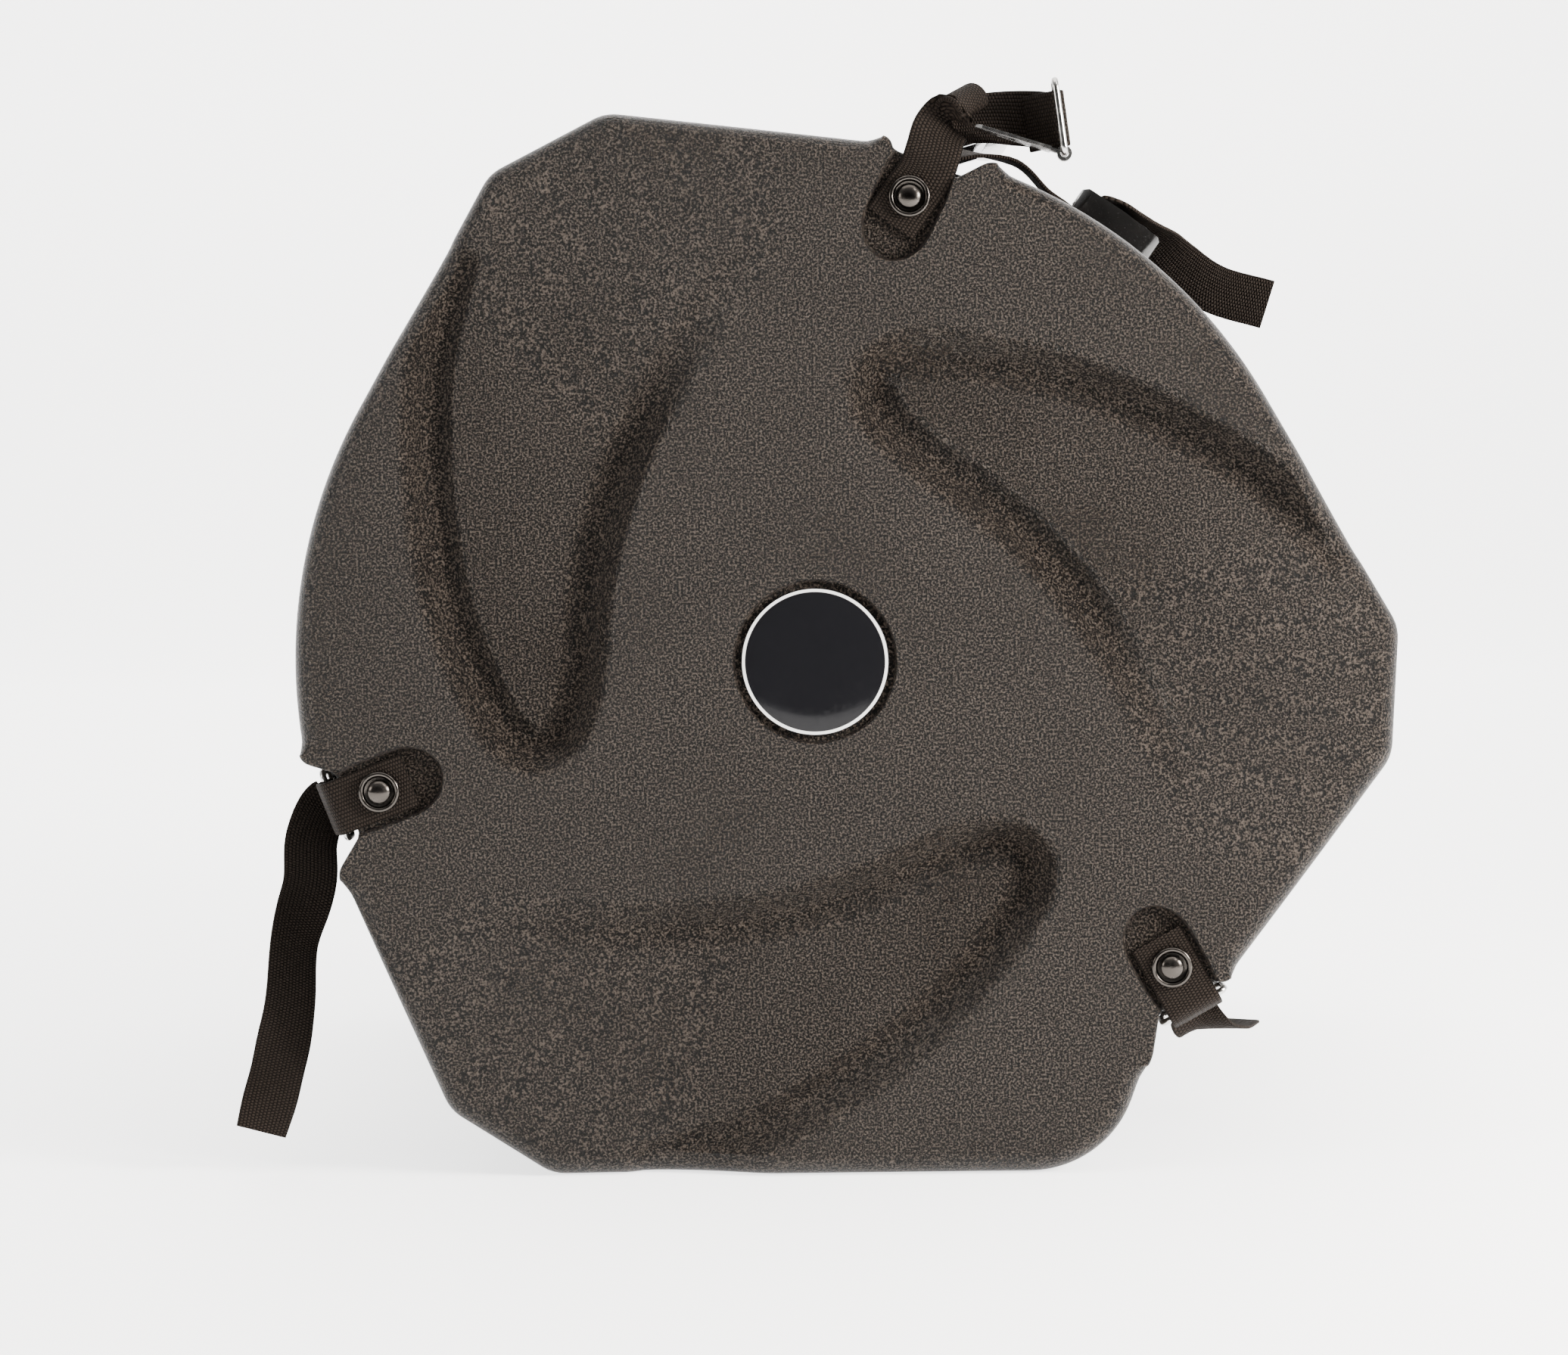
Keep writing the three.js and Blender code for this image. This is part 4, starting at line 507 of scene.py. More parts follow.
def face_points(rim):
    """Points of the lid face inside its rim: rows along every edge and groove, then an even spread"""
    sieve = Sieve(FACE_PITCH)
    sieve.add(rim, 0)
    rim_track = Track(rim, closed=True)

    def add(points, gap):
        points = np.asarray(points)
        keep = within(rim, points) & (rim_track.nearest(points)[0] > RIM_MARGIN)
        sieve.add(points[keep], gap)

    edge_rows = POCKET_EDGE * np.array([-1.6, -1, -0.5, 0, 0.5, 1, 1.6])
    for pocket in POCKETS:
        add(offsets(pocket, EDGE_PITCH, edge_rows), POCKET_EDGE / 3)
    add(offsets(Track(arc((0, 0), BADGE_RECESS_RADIUS, 0, 360, 180)), EDGE_PITCH, edge_rows), POCKET_EDGE / 3)
    groove_rows = np.concatenate([
        -GROOVE_INNER_WIDTH * np.linspace(1.1, 0.1, 7), [0], GROOVE_OUTER_WIDTH * np.linspace(0.08, 1.1, 12)])
    for end_deg, line, _ in HAIRPINS:
        rows = offsets(line, GROOVE_PITCH, groove_rows)
        add(rows[back_from(end_deg, rows) < SWIRL_FADE_DEG[1]], ROW_GAP)
    steps = np.arange(-LOBE_REACH, LOBE_REACH, FACE_PITCH)
    grid = np.array([(x + (j % 2) * FACE_PITCH / 2, z * math.sqrt(0.75))
                     for j, z in enumerate(1.2 * steps) for x in steps])
    add(grid, FACE_PITCH * 0.6)
    return np.array(sieve.points)


# Meshes

class Skin:
    """Vertices and faces of one closed piece, grown ring by ring"""

    def __init__(self):
        self.verts = []
        self.faces = []

    def add(self, points):
        start = len(self.verts)
        self.verts.extend(tuple(map(float, point)) for point in points)
        return list(range(start, len(self.verts)))

    def join(self, first, second, closed=True):
        count = len(first)
        for i in range(count if closed else count - 1):
            j = (i + 1) % count
            self.faces.append((first[i], first[j], second[j], second[i]))

    def rings(self, rings):
        """Rings of equal count, joined one to the next"""
        ids = [self.add(ring) for ring in rings]
        for first, second in zip(ids, ids[1:]):
            self.join(first, second)
        return ids

    def cap(self, ring):
        self.faces.append(tuple(ring))


def set_smooth(mesh, sharp_deg):
    mesh.polygons.foreach_set("use_smooth", [True] * len(mesh.polygons))
    mesh.set_sharp_from_angle(angle=math.radians(sharp_deg))


def placed(name, data):
    thing = bpy.data.objects.new(name, data)
    bpy.context.scene.collection.objects.link(thing)
    return thing


def piece(name, skin, slot, body, replaces=(), sharp_deg=40):
    """A new object from a skin, riding on a body in place of CAD nodes"""
    mesh = bpy.data.meshes.new(name)
    mesh.from_pydata(skin.verts, [], skin.faces)
    work = bmesh.new()
    work.from_mesh(mesh)
    bmesh.ops.remove_doubles(work, verts=work.verts, dist=2e-7)
    bmesh.ops.recalc_face_normals(work, faces=work.faces)
    work.to_mesh(mesh)
    work.free()
    set_smooth(mesh, sharp_deg)
    return finish_piece(placed(name, mesh), slot, body, replaces)


def finish_piece(thing, slot, body, replaces):
    thing.data.materials.clear()
    thing.data.materials.append(LOOKS[slot])
    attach(thing, body)
    if replaces:
        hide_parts(*replaces)
    return thing


def in_depth(ring, depth, draft=0.0, weight=1.0):
    """A ring about the axis, in space at a depth from the lid face, drawn in by a draft"""
    shrink = 1 - draft * np.asarray(weight) / CASE_RADIUS
    depth = np.broadcast_to(depth, len(ring))
    return np.stack([ring[:, 0] * shrink, FACE_Y + depth, (ring[:, 1] + FLAT_DROP) * shrink], axis=1)


def inward(ring):
    """Directions into the case, square to a ring's edge"""
    way = unit(np.roll(ring, -1, axis=0) - np.roll(ring, 1, axis=0))
    return np.stack([-way[:, 1], way[:, 0]], axis=1)


def lid_draft_at(depth):
    return LID_DRAFT * (LID_SKIRT - depth) / LID_SKIRT


def lid_moulding():
    skin = Skin()
    edge, weight = ring_outline()
    round_ = EDGE_ROUND + (RIM_ROUND - EDGE_ROUND) * weight
    steps = np.radians(np.linspace(0, 90, RIM_STEPS + 1))
    rims = [edge + inward(edge) * (round_ * (1 - math.sin(step)))[:, None] for step in steps]
    drops = face_drop(rims[0])
    rows = []
    for rim, step in zip(rims, steps):
        draft = lid_draft_at(0) * math.sin(step)
        rows.append(in_depth(rim, drops + round_ * (1 - math.cos(step)), draft, weight))
    for depth in np.linspace(0.25, 1, 6) * LID_SKIRT:
        rows.append(in_depth(edge, depth, lid_draft_at(depth), weight))
    ids = skin.rings(rows)

    points = face_points(rims[0])
    count = len(edge)
    loop = [(i, (i + 1) % count) for i in range(count)]
    verts, _, faces, *_ = delaunay_2d_cdt([Vector(p) for p in points], loop, [], 1, 1e-7)
    flat = np.array([tuple(v) for v in verts])
    cap = skin.add(in_depth(flat, face_drop(flat)))
    skin.faces.extend(tuple(cap[i] for i in face) for face in faces)

    levels = [(LID_SKIRT, WALL), (LID_INNER_LEVEL + WALL, WALL)]
    levels += [(LID_INNER_LEVEL + WALL * (1 - math.sin(turn)), WALL + WALL * (1 - math.cos(turn)))
               for turn in np.radians(np.linspace(30, 90, 3))]
    rows = []
    for depth, inset in levels:
        ring, weight = ring_outline(inset, inset)
        rows.append(in_depth(ring, depth, lid_draft_at(depth), weight))
    inner = skin.rings(rows)
    skin.join(ids[-1], inner[0])
    skin.cap(inner[-1])
    piece("lid_moulding", skin, "shell", "lid", ["lid_shell"])


def base_moulding():
    skin = Skin()
    base_front = LID_SKIRT + NECK_CLEARANCE
    neck_front = base_front - NECK_LENGTH
    neck_inset = WALL + NECK_CLEARANCE
    cavity_inset = neck_inset + NECK_WALL
    back_start = CASE_DEPTH - BACK_ROUND

    def draft_at(depth):
        return max(0.0, BASE_DRAFT * (depth - base_front) / (back_start - base_front))

    def row(depth, inset, margin=None, filled=False, draft=None):
        ring, weight = ring_outline(inset, inset if margin is None else margin, filled)
        return in_depth(ring, depth, draft_at(depth) if draft is None else draft, weight)

    def rounded(back, inset, steps):
        """Rows round the back edge"""
        return [row(back - BACK_ROUND * (1 - math.sin(turn)), inset + BACK_ROUND * (1 - math.cos(turn)), 0,
                    filled=True, draft=BASE_DRAFT) for turn in np.radians(np.linspace(0, 90, steps + 1)[1:])]

    neck_draft = lid_draft_at(neck_front)

    channel_end = CHANNEL_LENGTH + CHANNEL_END_SLOPE
    rows = [
        row(neck_front, neck_inset + EDGE_ROUND / 2, draft=neck_draft),
        row(neck_front + EDGE_ROUND / 2, neck_inset, draft=neck_draft),
        row(base_front, neck_inset, draft=0),
        row(base_front, EDGE_ROUND / 2),
        row(base_front + EDGE_ROUND / 2, 0),
    ]
    rows += [row(depth, 0) for depth in np.linspace(base_front, CHANNEL_LENGTH, 5)[1:]]
    rows.append(row(channel_end, 0, 0, filled=True))
    rows += [row(depth, 0, 0, filled=True) for depth in np.linspace(channel_end, back_start, 8)[1:]]
    outer = skin.rings(rows + rounded(CASE_DEPTH, 0, RIM_STEPS))
    skin.cap(outer[-1])

    inner_back = CASE_DEPTH - WALL
    rows = [
        row(neck_front, cavity_inset, draft=neck_draft),
        row(base_front + NECK_WALL, cavity_inset, draft=0),
        row(base_front + NECK_WALL + NECK_RAMP, WALL),
        row(CHANNEL_LENGTH + WALL, WALL),
        row(channel_end + WALL, WALL, 0, filled=True),
        row(inner_back - BACK_ROUND, WALL, 0, filled=True),
    ]
    inner = skin.rings(rows + rounded(inner_back, WALL, BACK_INNER_STEPS))
    skin.join(outer[0], inner[0])
    skin.cap(inner[-1])
    piece("base_moulding", skin, "shell", "base", ["base_shell"])


# Materials

def feed(tree, value, socket):
    """A value or another node's socket, into an input"""
    if isinstance(value, bpy.types.NodeSocket):
        tree.links.new(value, socket)
    else:
        socket.default_value = value


def add(tree, kind, settings=None, **inputs):
    """A shader node; an input is named, or numbered as _0, and takes a value or a socket"""
    node = tree.nodes.new(kind)
    for key, value in (settings or {}).items():
        setattr(node, key, value)
    for key, value in inputs.items():
        feed(tree, value, node.inputs[int(key[1:]) if key[1:].isdigit() else key.replace("_", " ")])
    return node


def blank(name, roughness, metallic=0.0, specular=0.5):
    material = bpy.data.materials.new(name)
    material.use_nodes = True
    tree = material.node_tree
    shader = tree.nodes["Principled BSDF"]
    shader.inputs["Roughness"].default_value = roughness
    shader.inputs["Metallic"].default_value = metallic
    shader.inputs["Specular IOR Level"].default_value = specular
    return material, tree, shader


def noise_of(tree, where, scale, detail=2.0, rough=0.5):
    return add(tree, "ShaderNodeTexNoise", Vector=where, Scale=scale, Detail=detail,
               Roughness=rough).outputs["Fac"]


def ranged(tree, value, low, high, to_low, to_high):
    node = add(tree, "ShaderNodeMapRange", Value=value)
    for key, number in (("From Min", low), ("From Max", high), ("To Min", to_low), ("To Max", to_high)):
        node.inputs[key].default_value = number
    return node.outputs["Result"]


def maths(tree, operation, *values):
    node = add(tree, "ShaderNodeMath", {"operation": operation})
    for socket, value in zip(node.inputs, values):
        feed(tree, value, socket)
    return node.outputs[0]


def between(tree, share, first, second):
    """Two colours, mixed by a share"""
    node = add(tree, "ShaderNodeMix", {"data_type": "RGBA"}, Factor=share)
    for socket, colour in ((node.inputs[6], first), (node.inputs[7], second)):
        feed(tree, (*colour, 1) if isinstance(colour, tuple) else colour, socket)
    return node.outputs[2]


def surface(tree, shader, colour, height, strength, distance, roughness=None):
    """A material's colour and bump, and its roughness where that varies"""
    node = add(tree, "ShaderNodeBump", Height=height, Strength=strength, Distance=distance)
    feed(tree, colour, shader.inputs["Base Color"])
    feed(tree, node.outputs["Normal"], shader.inputs["Normal"])
    if roughness is not None:
        feed(tree, roughness, shader.inputs["Roughness"])


def places(tree):
    return add(tree, "ShaderNodeTexCoord").outputs["Object"]


# Shell colours: painted shade for the grain's pits and low parts, painted highlight for its raised crests
SHELL_PIT_SHADE = (0.0004, 0.0003, 0.0002)
SHELL_LOW_SHADE = (0.0042, 0.0029, 0.0021)
SHELL_TOP_HIGHLIGHT = (0.108, 0.086, 0.069)


def shell_plastic():
    """Moulded polyethylene with a pebbled leather grain and cloudy patches of tone; painted shade darkens the
    grain's pits and low parts, and painted highlight lightens its raised crests
    """
    material, tree, shader = blank("shell_plastic", 0.34, specular=0.14)
    at = places(tree)
    cloud = noise_of(tree, at, 16, 3)
    pebble = noise_of(tree, at, 1000, 2, 0.6)
    cells = add(tree, "ShaderNodeTexVoronoi", {"feature": "DISTANCE_TO_EDGE"}, Vector=at,
                Scale=1250).outputs["Distance"]
    pits = maths(tree, "MULTIPLY",
                 ranged(tree, cells, 0.02, 0.2, 0, 1), ranged(tree, pebble, 0.38, 0.6, 0, 1))
    # Painted shade: the colour is darkened towards near black in the grain's pits and low parts
    base = between(tree, ranged(tree, pits, 0, 0.7, 0, 1), SHELL_PIT_SHADE, SHELL_LOW_SHADE)
    # Painted highlight on the raised crests of the grain, dimmed a little by the cloudy patches of tone
    crest_highlight_and_patches = maths(tree, "MULTIPLY",
                 ranged(tree, pebble, 0.47, 0.65, 0, 1), ranged(tree, cloud, 0.3, 0.7, 0.85, 1))
    height = maths(tree, "ADD", maths(tree, "MULTIPLY", pits, 0.5), pebble)
    surface(tree, shader, between(tree, crest_highlight_and_patches, base, SHELL_TOP_HIGHLIGHT), height, 1.0, 0.0022,
            ranged(tree, cloud, 0.3, 0.7, 0.26, 0.36))
    return material


def gloss_plastic():
    """Shiny black plastic with a slight moulded waviness and hair scratches"""
    material, tree, shader = blank("gloss_plastic", 0.16)
    shader.inputs["Coat Weight"].default_value = 0.3
    at = places(tree)
    wave = noise_of(tree, at, 90, 1)
    fine = noise_of(tree, at, 700, 4, 0.7)
    colour = between(tree, wave, (0.003, 0.003, 0.003), (0.008, 0.0074, 0.0068))
    height = maths(tree, "ADD", wave, maths(tree, "MULTIPLY", fine, 0.06))
    surface(tree, shader, colour, height, 0.3, 0.0008, ranged(tree, fine, 0.35, 0.7, 0.12, 0.3))
    return material


def metal(name, dark, light, roughness):
    """Plated metal with soft stains and fine scratches"""
    material, tree, shader = blank(name, roughness, 1.0)
    at = places(tree)
    stain = noise_of(tree, at, 180, 4, 0.6)
    stretch = add(tree, "ShaderNodeVectorMath", {"operation": "MULTIPLY"}, _0=at, _1=(400, 2600, 900))
    scratch = noise_of(tree, stretch.outputs[0], 1, 3, 0.6)
    surface(tree, shader, between(tree, stain, dark, light), maths(tree, "ADD", scratch, stain), 0.12,
            0.0003, ranged(tree, stain, 0.3, 0.7, roughness * 0.75, roughness * 1.5))
    return material


def webbing_cloth():
    """Ribbed polypropylene webbing: rows of rounded picks across, laid in turn like bricks; the colour is
    darkened in the gaps between picks as painted shade and lightened on their crowns as painted highlight
    """
    material, tree, shader = blank("webbing_cloth", 0.75, specular=0.06)
    uv = add(tree, "ShaderNodeUVMap", {"uv_map": WEAVE_MAP}).outputs["UV"]
    split = add(tree, "ShaderNodeSeparateXYZ", Vector=uv)
    along, across = split.outputs[0], split.outputs[1]
    column = maths(tree, "MULTIPLY", across, 1 / WEAVE_COLUMN)
    shift = maths(tree, "MULTIPLY", maths(tree, "FLOOR", column), 0.5)
    row = maths(tree, "ADD", maths(tree, "MULTIPLY", along, 1 / WEAVE_ROW), shift)
    bead_row = maths(tree, "ABSOLUTE", maths(tree, "SINE", maths(tree, "MULTIPLY", row, math.pi)))
    bead_column = maths(tree, "ABSOLUTE", maths(tree, "SINE", maths(tree, "MULTIPLY", column, math.pi)))
    bead = maths(tree, "MULTIPLY",
                 maths(tree, "POWER", bead_row, 0.6), maths(tree, "POWER", bead_column, 0.45))
    fuzz = noise_of(tree, places(tree), 2600, 3, 0.7)
    # Painted shade in the gaps between picks, painted highlight on their crowns
    colour = between(tree, bead, (0.0004, 0.0003, 0.0003), (0.02, 0.0148, 0.0115))
    colour = between(tree, ranged(tree, fuzz, 0.5, 0.75, 0, 0.3), colour, (0.034, 0.026, 0.021))
    height = maths(tree, "ADD", bead, maths(tree, "MULTIPLY", fuzz, 0.25))
    surface(tree, shader, colour, height, 1.0, 0.0009)
    return material


def foam_rubber():
    """Charcoal foam with open cells, their hollows darkened as painted shade"""
    material, tree, shader = blank("foam_rubber", 0.95, specular=0.15)
    at = places(tree)
    cells = add(tree, "ShaderNodeTexVoronoi", Vector=at, Scale=900).outputs["Distance"]
    cloud = noise_of(tree, at, 25, 3)
    dim = between(tree, cloud, (0.016, 0.016, 0.018), (0.026, 0.026, 0.028))
    # Painted shade in the hollows of the cells
    colour = between(tree, ranged(tree, cells, 0.1, 0.6, 0.8, 0), dim, (0.004, 0.004, 0.004))
    surface(tree, shader, colour, cells, 0.8, 0.0008)
    return material


def badge_face():
    """Glossy black plate with a plain white ring near its edge and hair scratches"""
    material, tree, shader = blank("badge_face", 0.1, specular=0.16)
    shader.inputs["Coat Weight"].default_value = 0.06
    at = places(tree)
    flat = add(tree, "ShaderNodeVectorMath", {"operation": "MULTIPLY"}, _0=at, _1=(1, 0, 1)).outputs[0]
    centred = add(tree, "ShaderNodeVectorMath", {"operation": "DISTANCE"}, _0=flat, _1=(0, 0, FLAT_DROP))
    away = maths(tree, "ABSOLUTE", maths(tree, "SUBTRACT", centred.outputs["Value"], BADGE_RING_RADIUS))
    ring = ranged(tree, away, BADGE_RING_WIDTH * 0.42, BADGE_RING_WIDTH * 0.58, 1, 0)
    scratch = noise_of(tree, at, 420, 6, 0.8)
    colour = between(tree, ring, (0.006, 0.006, 0.007), (0.78, 0.78, 0.76))
    surface(tree, shader, colour, scratch, 0.05, 0.0002, ranged(tree, scratch, 0.5, 0.75, 0.06, 0.3))
    return material


LOOKS = {
    "shell": shell_plastic(),
    "gloss": gloss_plastic(),
    "gunmetal": metal("gunmetal_plate", (0.035, 0.031, 0.028), (0.075, 0.068, 0.061), 0.2),
    "steel": metal("nickel_plate", (0.42, 0.41, 0.4), (0.62, 0.61, 0.59), 0.18),
    "webbing": webbing_cloth(),
    "foam": foam_rubber(),
    "badge": badge_face(),
}


# Webbing

RIBBON_SECTION = [
    (0.985, 0.75), (0.94, 1), (0.5, 1), (0, 1), (-0.5, 1), (-0.94, 1), (-0.985, 0.75), (-1, 0),
    (-0.985, -0.75), (-0.94, -1), (-0.5, -1), (0, -1), (0.5, -1), (0.94, -1), (0.985, -0.75), (1, 0),
]


def ribbon(kind, number, stations, body):
    """A flat strap swept through stations, each a point and the direction of its width"""
    centre = centripetal([point for point, _ in stations], RIBBON_STEPS)
    wide = centripetal([way for _, way in stations], RIBBON_STEPS)
    along = unit(np.gradient(centre, axis=0))
    wide = unit(wide - (wide * along).sum(1, keepdims=True) * along)
    thick = np.cross(along, wide)
    skin = Skin()
    ids = skin.rings([[
        at + w * a * WEBBING_WIDTH / 2 + t * b * WEBBING_THICKNESS / 2 for a, b in RIBBON_SECTION
    ] for at, w, t in zip(centre, wide, thick)])
    skin.cap(ids[0])
    skin.cap(ids[-1])
    run = np.concatenate([[0], np.linalg.norm(np.diff(centre, axis=0), axis=1).cumsum()])
    strap = piece(f"{kind}_webbing_{number}", skin, "webbing", body, [f"{kind}_{number}"], sharp_deg=50)
    weave = strap.data.uv_layers.new(name=WEAVE_MAP)
    count = len(RIBBON_SECTION)
    girth = np.array([a * WEBBING_WIDTH / 2 for a, _ in RIBBON_SECTION])
    where = [(run[i // count], girth[i % count]) for i in range(len(skin.verts))]
    for loop in strap.data.loops:
        weave.data[loop.index].uv = where[loop.vertex_index]


def wrap(bar, arriving, normal, wide, back):
    """Stations that take a strap round a bar and back under itself"""
    turn = WIRE_RADIUS + BAR_CLEARANCE + WEBBING_THICKNESS / 2
    slant = turn * math.sqrt(0.5)
    around = [
        -2 * turn * arriving + turn * normal, turn * normal, slant * (arriving + normal), turn * arriving,
        slant * (arriving - normal), -turn * normal, -2 * turn * arriving - turn * normal,
        -back * arriving - 0.9 * turn * normal,
    ]
    return [(bar + place, wide) for place in around]


TAB_RIDE = POCKET_DEPTH - SEAT_GAP - WEBBING_THICKNESS / 2


def closed_tab(number):
    seat = TAB_SEATS[number]
    edge, thick = CHANNEL_FLOOR + SEAT_GAP, WEBBING_THICKNESS
    wide = seat.way(1, 0, 0)
    path = [
        (TAB_RIDE, -TAB_END_LENGTH), (TAB_RIDE, 0), (TAB_RIDE, edge - 3 * thick),
        (TAB_RIDE, edge + 0.5 * thick), (TAB_RIDE + SEAT_GAP, edge + 2.2 * thick),
        (POCKET_DEPTH + thick, edge + 3.9 * thick), (3 * POCKET_DEPTH, edge + 5.1 * thick),
    ]
    stations = [(seat.point(0, y, z), wide) for y, z in path]
    bar = seat.point(0, RING_FRONT, RING_HEIGHT)
    stations += wrap(bar, seat.way(0, 1, 0), seat.way(0, 0, 1), wide, CLOSED_TAB_BACK)
    ribbon("lid_tab", number + 1, stations, "lid")


# The open tab: over the rim, one curl back on itself, then off to the right. Rows are x, depth,
# height and the width direction, places as shares of the webbing width.
OPEN_TAB = [
    (0.29, 0.113, 0.387, 0.8, 0, -0.6), (0.445, 0.08, 0.81, 0.9, 0.05, -0.4),
    (0.545, 0.2, 1.13, 0.95, 0.25, -0.1), (0.73, 0.42, 1.36, 0.75, 0.6, 0.2),
    (1, 0.56, 1.44, 0.58, 0.76, 0.3), (1.167, 0.48, 1.565, 0.52, 0.79, 0.33),
    (1.1, 0.443, 1.75, 0.52, 0.79, 0.33), (0.944, 0.504, 1.859, 0.52, 0.79, 0.33),
    (0.786, 0.62, 1.826, 0.52, 0.79, 0.33), (0.72, 0.73, 1.67, 0.5, 0.78, 0.38),
    (0.706, 0.887, 1.49, 0.3, 0.7, 0.6), (0.827, 1.05, 1.41, 0.1, 0.55, 0.83),
    (1.13, 1.153, 1.43, 0, 0.45, 0.9), (1.53, 1.16, 1.45, 0, 0.35, 0.93),
    (1.935, 1.1, 1.43, -0.05, 0.15, 0.97), (2.34, 0.95, 1.39, -0.1, 0.02, 0.99),
]
OPEN_RING = {"far": (2.7, 0.645, 1.37), "bar": (-0.13, 0, 0.99), "side": (-0.03, -0.99, -0.03)}


def open_point(x, y, z):
    return SEATS[0].point(0, 0, 0) + WEBBING_WIDTH * np.array([x, y, z])


def spoke(deg):
    """Directions out from the case's axis and anticlockwise round it, at an angle"""
    angle = math.radians(deg)
    return np.array([math.cos(angle), 0, math.sin(angle)]), np.array([-math.sin(angle), 0, math.cos(angle)])


def frame_of(x_axis, y_axis, origin):
    """A frame with one axis, the side that its second axis leans to, and its origin"""
    x_axis = unit(x_axis)
    y_axis = unit(y_axis - np.dot(y_axis, x_axis) * x_axis)
    return Matrix((*zip(x_axis, y_axis, np.cross(x_axis, y_axis), origin), (0, 0, 0, 1)))


def open_tab():
    seat = TAB_SEATS[0]
    wide = seat.way(1, 0, 0)
    stations = [(seat.point(0, TAB_RIDE, z), wide) for z in (-TAB_END_LENGTH, 0)]
    stations += [(open_point(*row[:3]), unit(row[3:])) for row in OPEN_TAB]
    bar = open_point(*OPEN_RING["far"])
    along = unit(OPEN_RING["bar"])
    arriving = bar - stations[-1][0]
    arriving = unit(arriving - np.dot(arriving, along) * along)
    normal = np.cross(along, arriving)
    stations += wrap(bar, arriving, normal, along, OPEN_TAB_BACK)
    ribbon("lid_tab", 1, stations, "lid")


STRAP_RIDE = CHANNEL_FLOOR + SEAT_GAP + WEBBING_THICKNESS / 2

# The strap bar's place in the buckle's frame, and the strap's turn round it
STRAP_BAR_Y = HOUSING_LENGTH - STRAP_BAR_INSET
STRAP_BAR_Z = 2 * SEAT_GAP - HOUSING_LIFT + WEBBING_THICKNESS + STRAP_BAR_RADIUS
STRAP_TURN = STRAP_BAR_RADIUS + SEAT_GAP + WEBBING_THICKNESS / 2


def round_bar(y, z):
    """Places in (depth, outward) that take a strap round a bar's near side"""
    turn, slant = STRAP_TURN, STRAP_TURN * math.sqrt(0.5)
    return [(y, z - turn), (y - slant, z - slant), (y - turn, z), (y - turn, z + turn)]


# Free tails: rows as for the open tab, from where the tail leaves its buckle
TAILS = {
    1: [(-0.33, -0.2, -0.2, 0.53, -0.1, -0.85), (-0.52, -0.7, -0.75, 0.9, 0.1, -0.5),
        (-0.5, -1.15, -1.5, 0.968, 0, -0.25), (-0.72, -1.7, -2.5, 0.75, 0.55, -0.28),
        (-0.78, -2.1, -3.7, 0.8, 0.55, 0.2), (-0.98, -2.4, -4.8, 0.89, 0.1, 0.4),
        (-1.26, -2.7, -5.9, 0.8, 0.5, -0.2)],
    2: [(0.17, 0.1, -0.5, 0.85, 0.1, 0.5), (0.5, 0.45, -0.72, 0.75, -0.6, 0.2),
        (0.85, 1, -0.82, 0.7, -0.7, 0.05), (1.1, 1.7, -0.84, 0.75, -0.65, 0)],
}


def closed_strap(number):
    seat = SEATS[number]
    y, z = HOUSING_FRONT + STRAP_BAR_Y, CHANNEL_FLOOR + HOUSING_LIFT + STRAP_BAR_Z
    wide = seat.way(1, 0, 0)
    path = [
        (BASE_RIVET_DEPTH + BASE_STRAP_END, STRAP_RIDE), (BASE_RIVET_DEPTH, STRAP_RIDE),
        (LID_SKIRT + 0.005, STRAP_RIDE), (y + STRAP_TURN, STRAP_RIDE), *round_bar(y, z),
        (y - STRAP_TURN, z + 3 * STRAP_TURN),
    ]
    stations = [(seat.point(0, depth, out), wide) for depth, out in path]
    leaving = stations[-1][0]
    stations += [(leaving + WEBBING_WIDTH * np.array(row[:3]), unit(row[3:])) for row in TAILS[number]]
    ribbon("base_strap", number + 1, stations, "base")


OPEN_BUCKLE_DEG = 54
OPEN_BUCKLE_DEPTH = 0.112
OPEN_BUCKLE_LIFT = 0.0026
OPEN_ARCH_DEG = 67
OPEN_TAIL = [
    (52.5, 1.55, 0.45, 0.1, -0.97, 0.1), (49, 1.5, 1, 0.2, -0.8, 0.45), (45.5, 1.45, 1.35, 0.25, -0.6, 0.75),
    (41, 1.75, 1.5, 0.28, -0.4, 0.85), (36, 3, 1.45, 0.25, -0.35, 0.9),
]


def open_buckle_frame():
    outward, along = spoke(OPEN_BUCKLE_DEG)
    middle = (0, FACE_Y + OPEN_BUCKLE_DEPTH, FLAT_DROP) + outward * (CASE_RADIUS + OPEN_BUCKLE_LIFT)
    return frame_of(np.cross(along, outward), along, middle - along * HOUSING_LENGTH / 2)


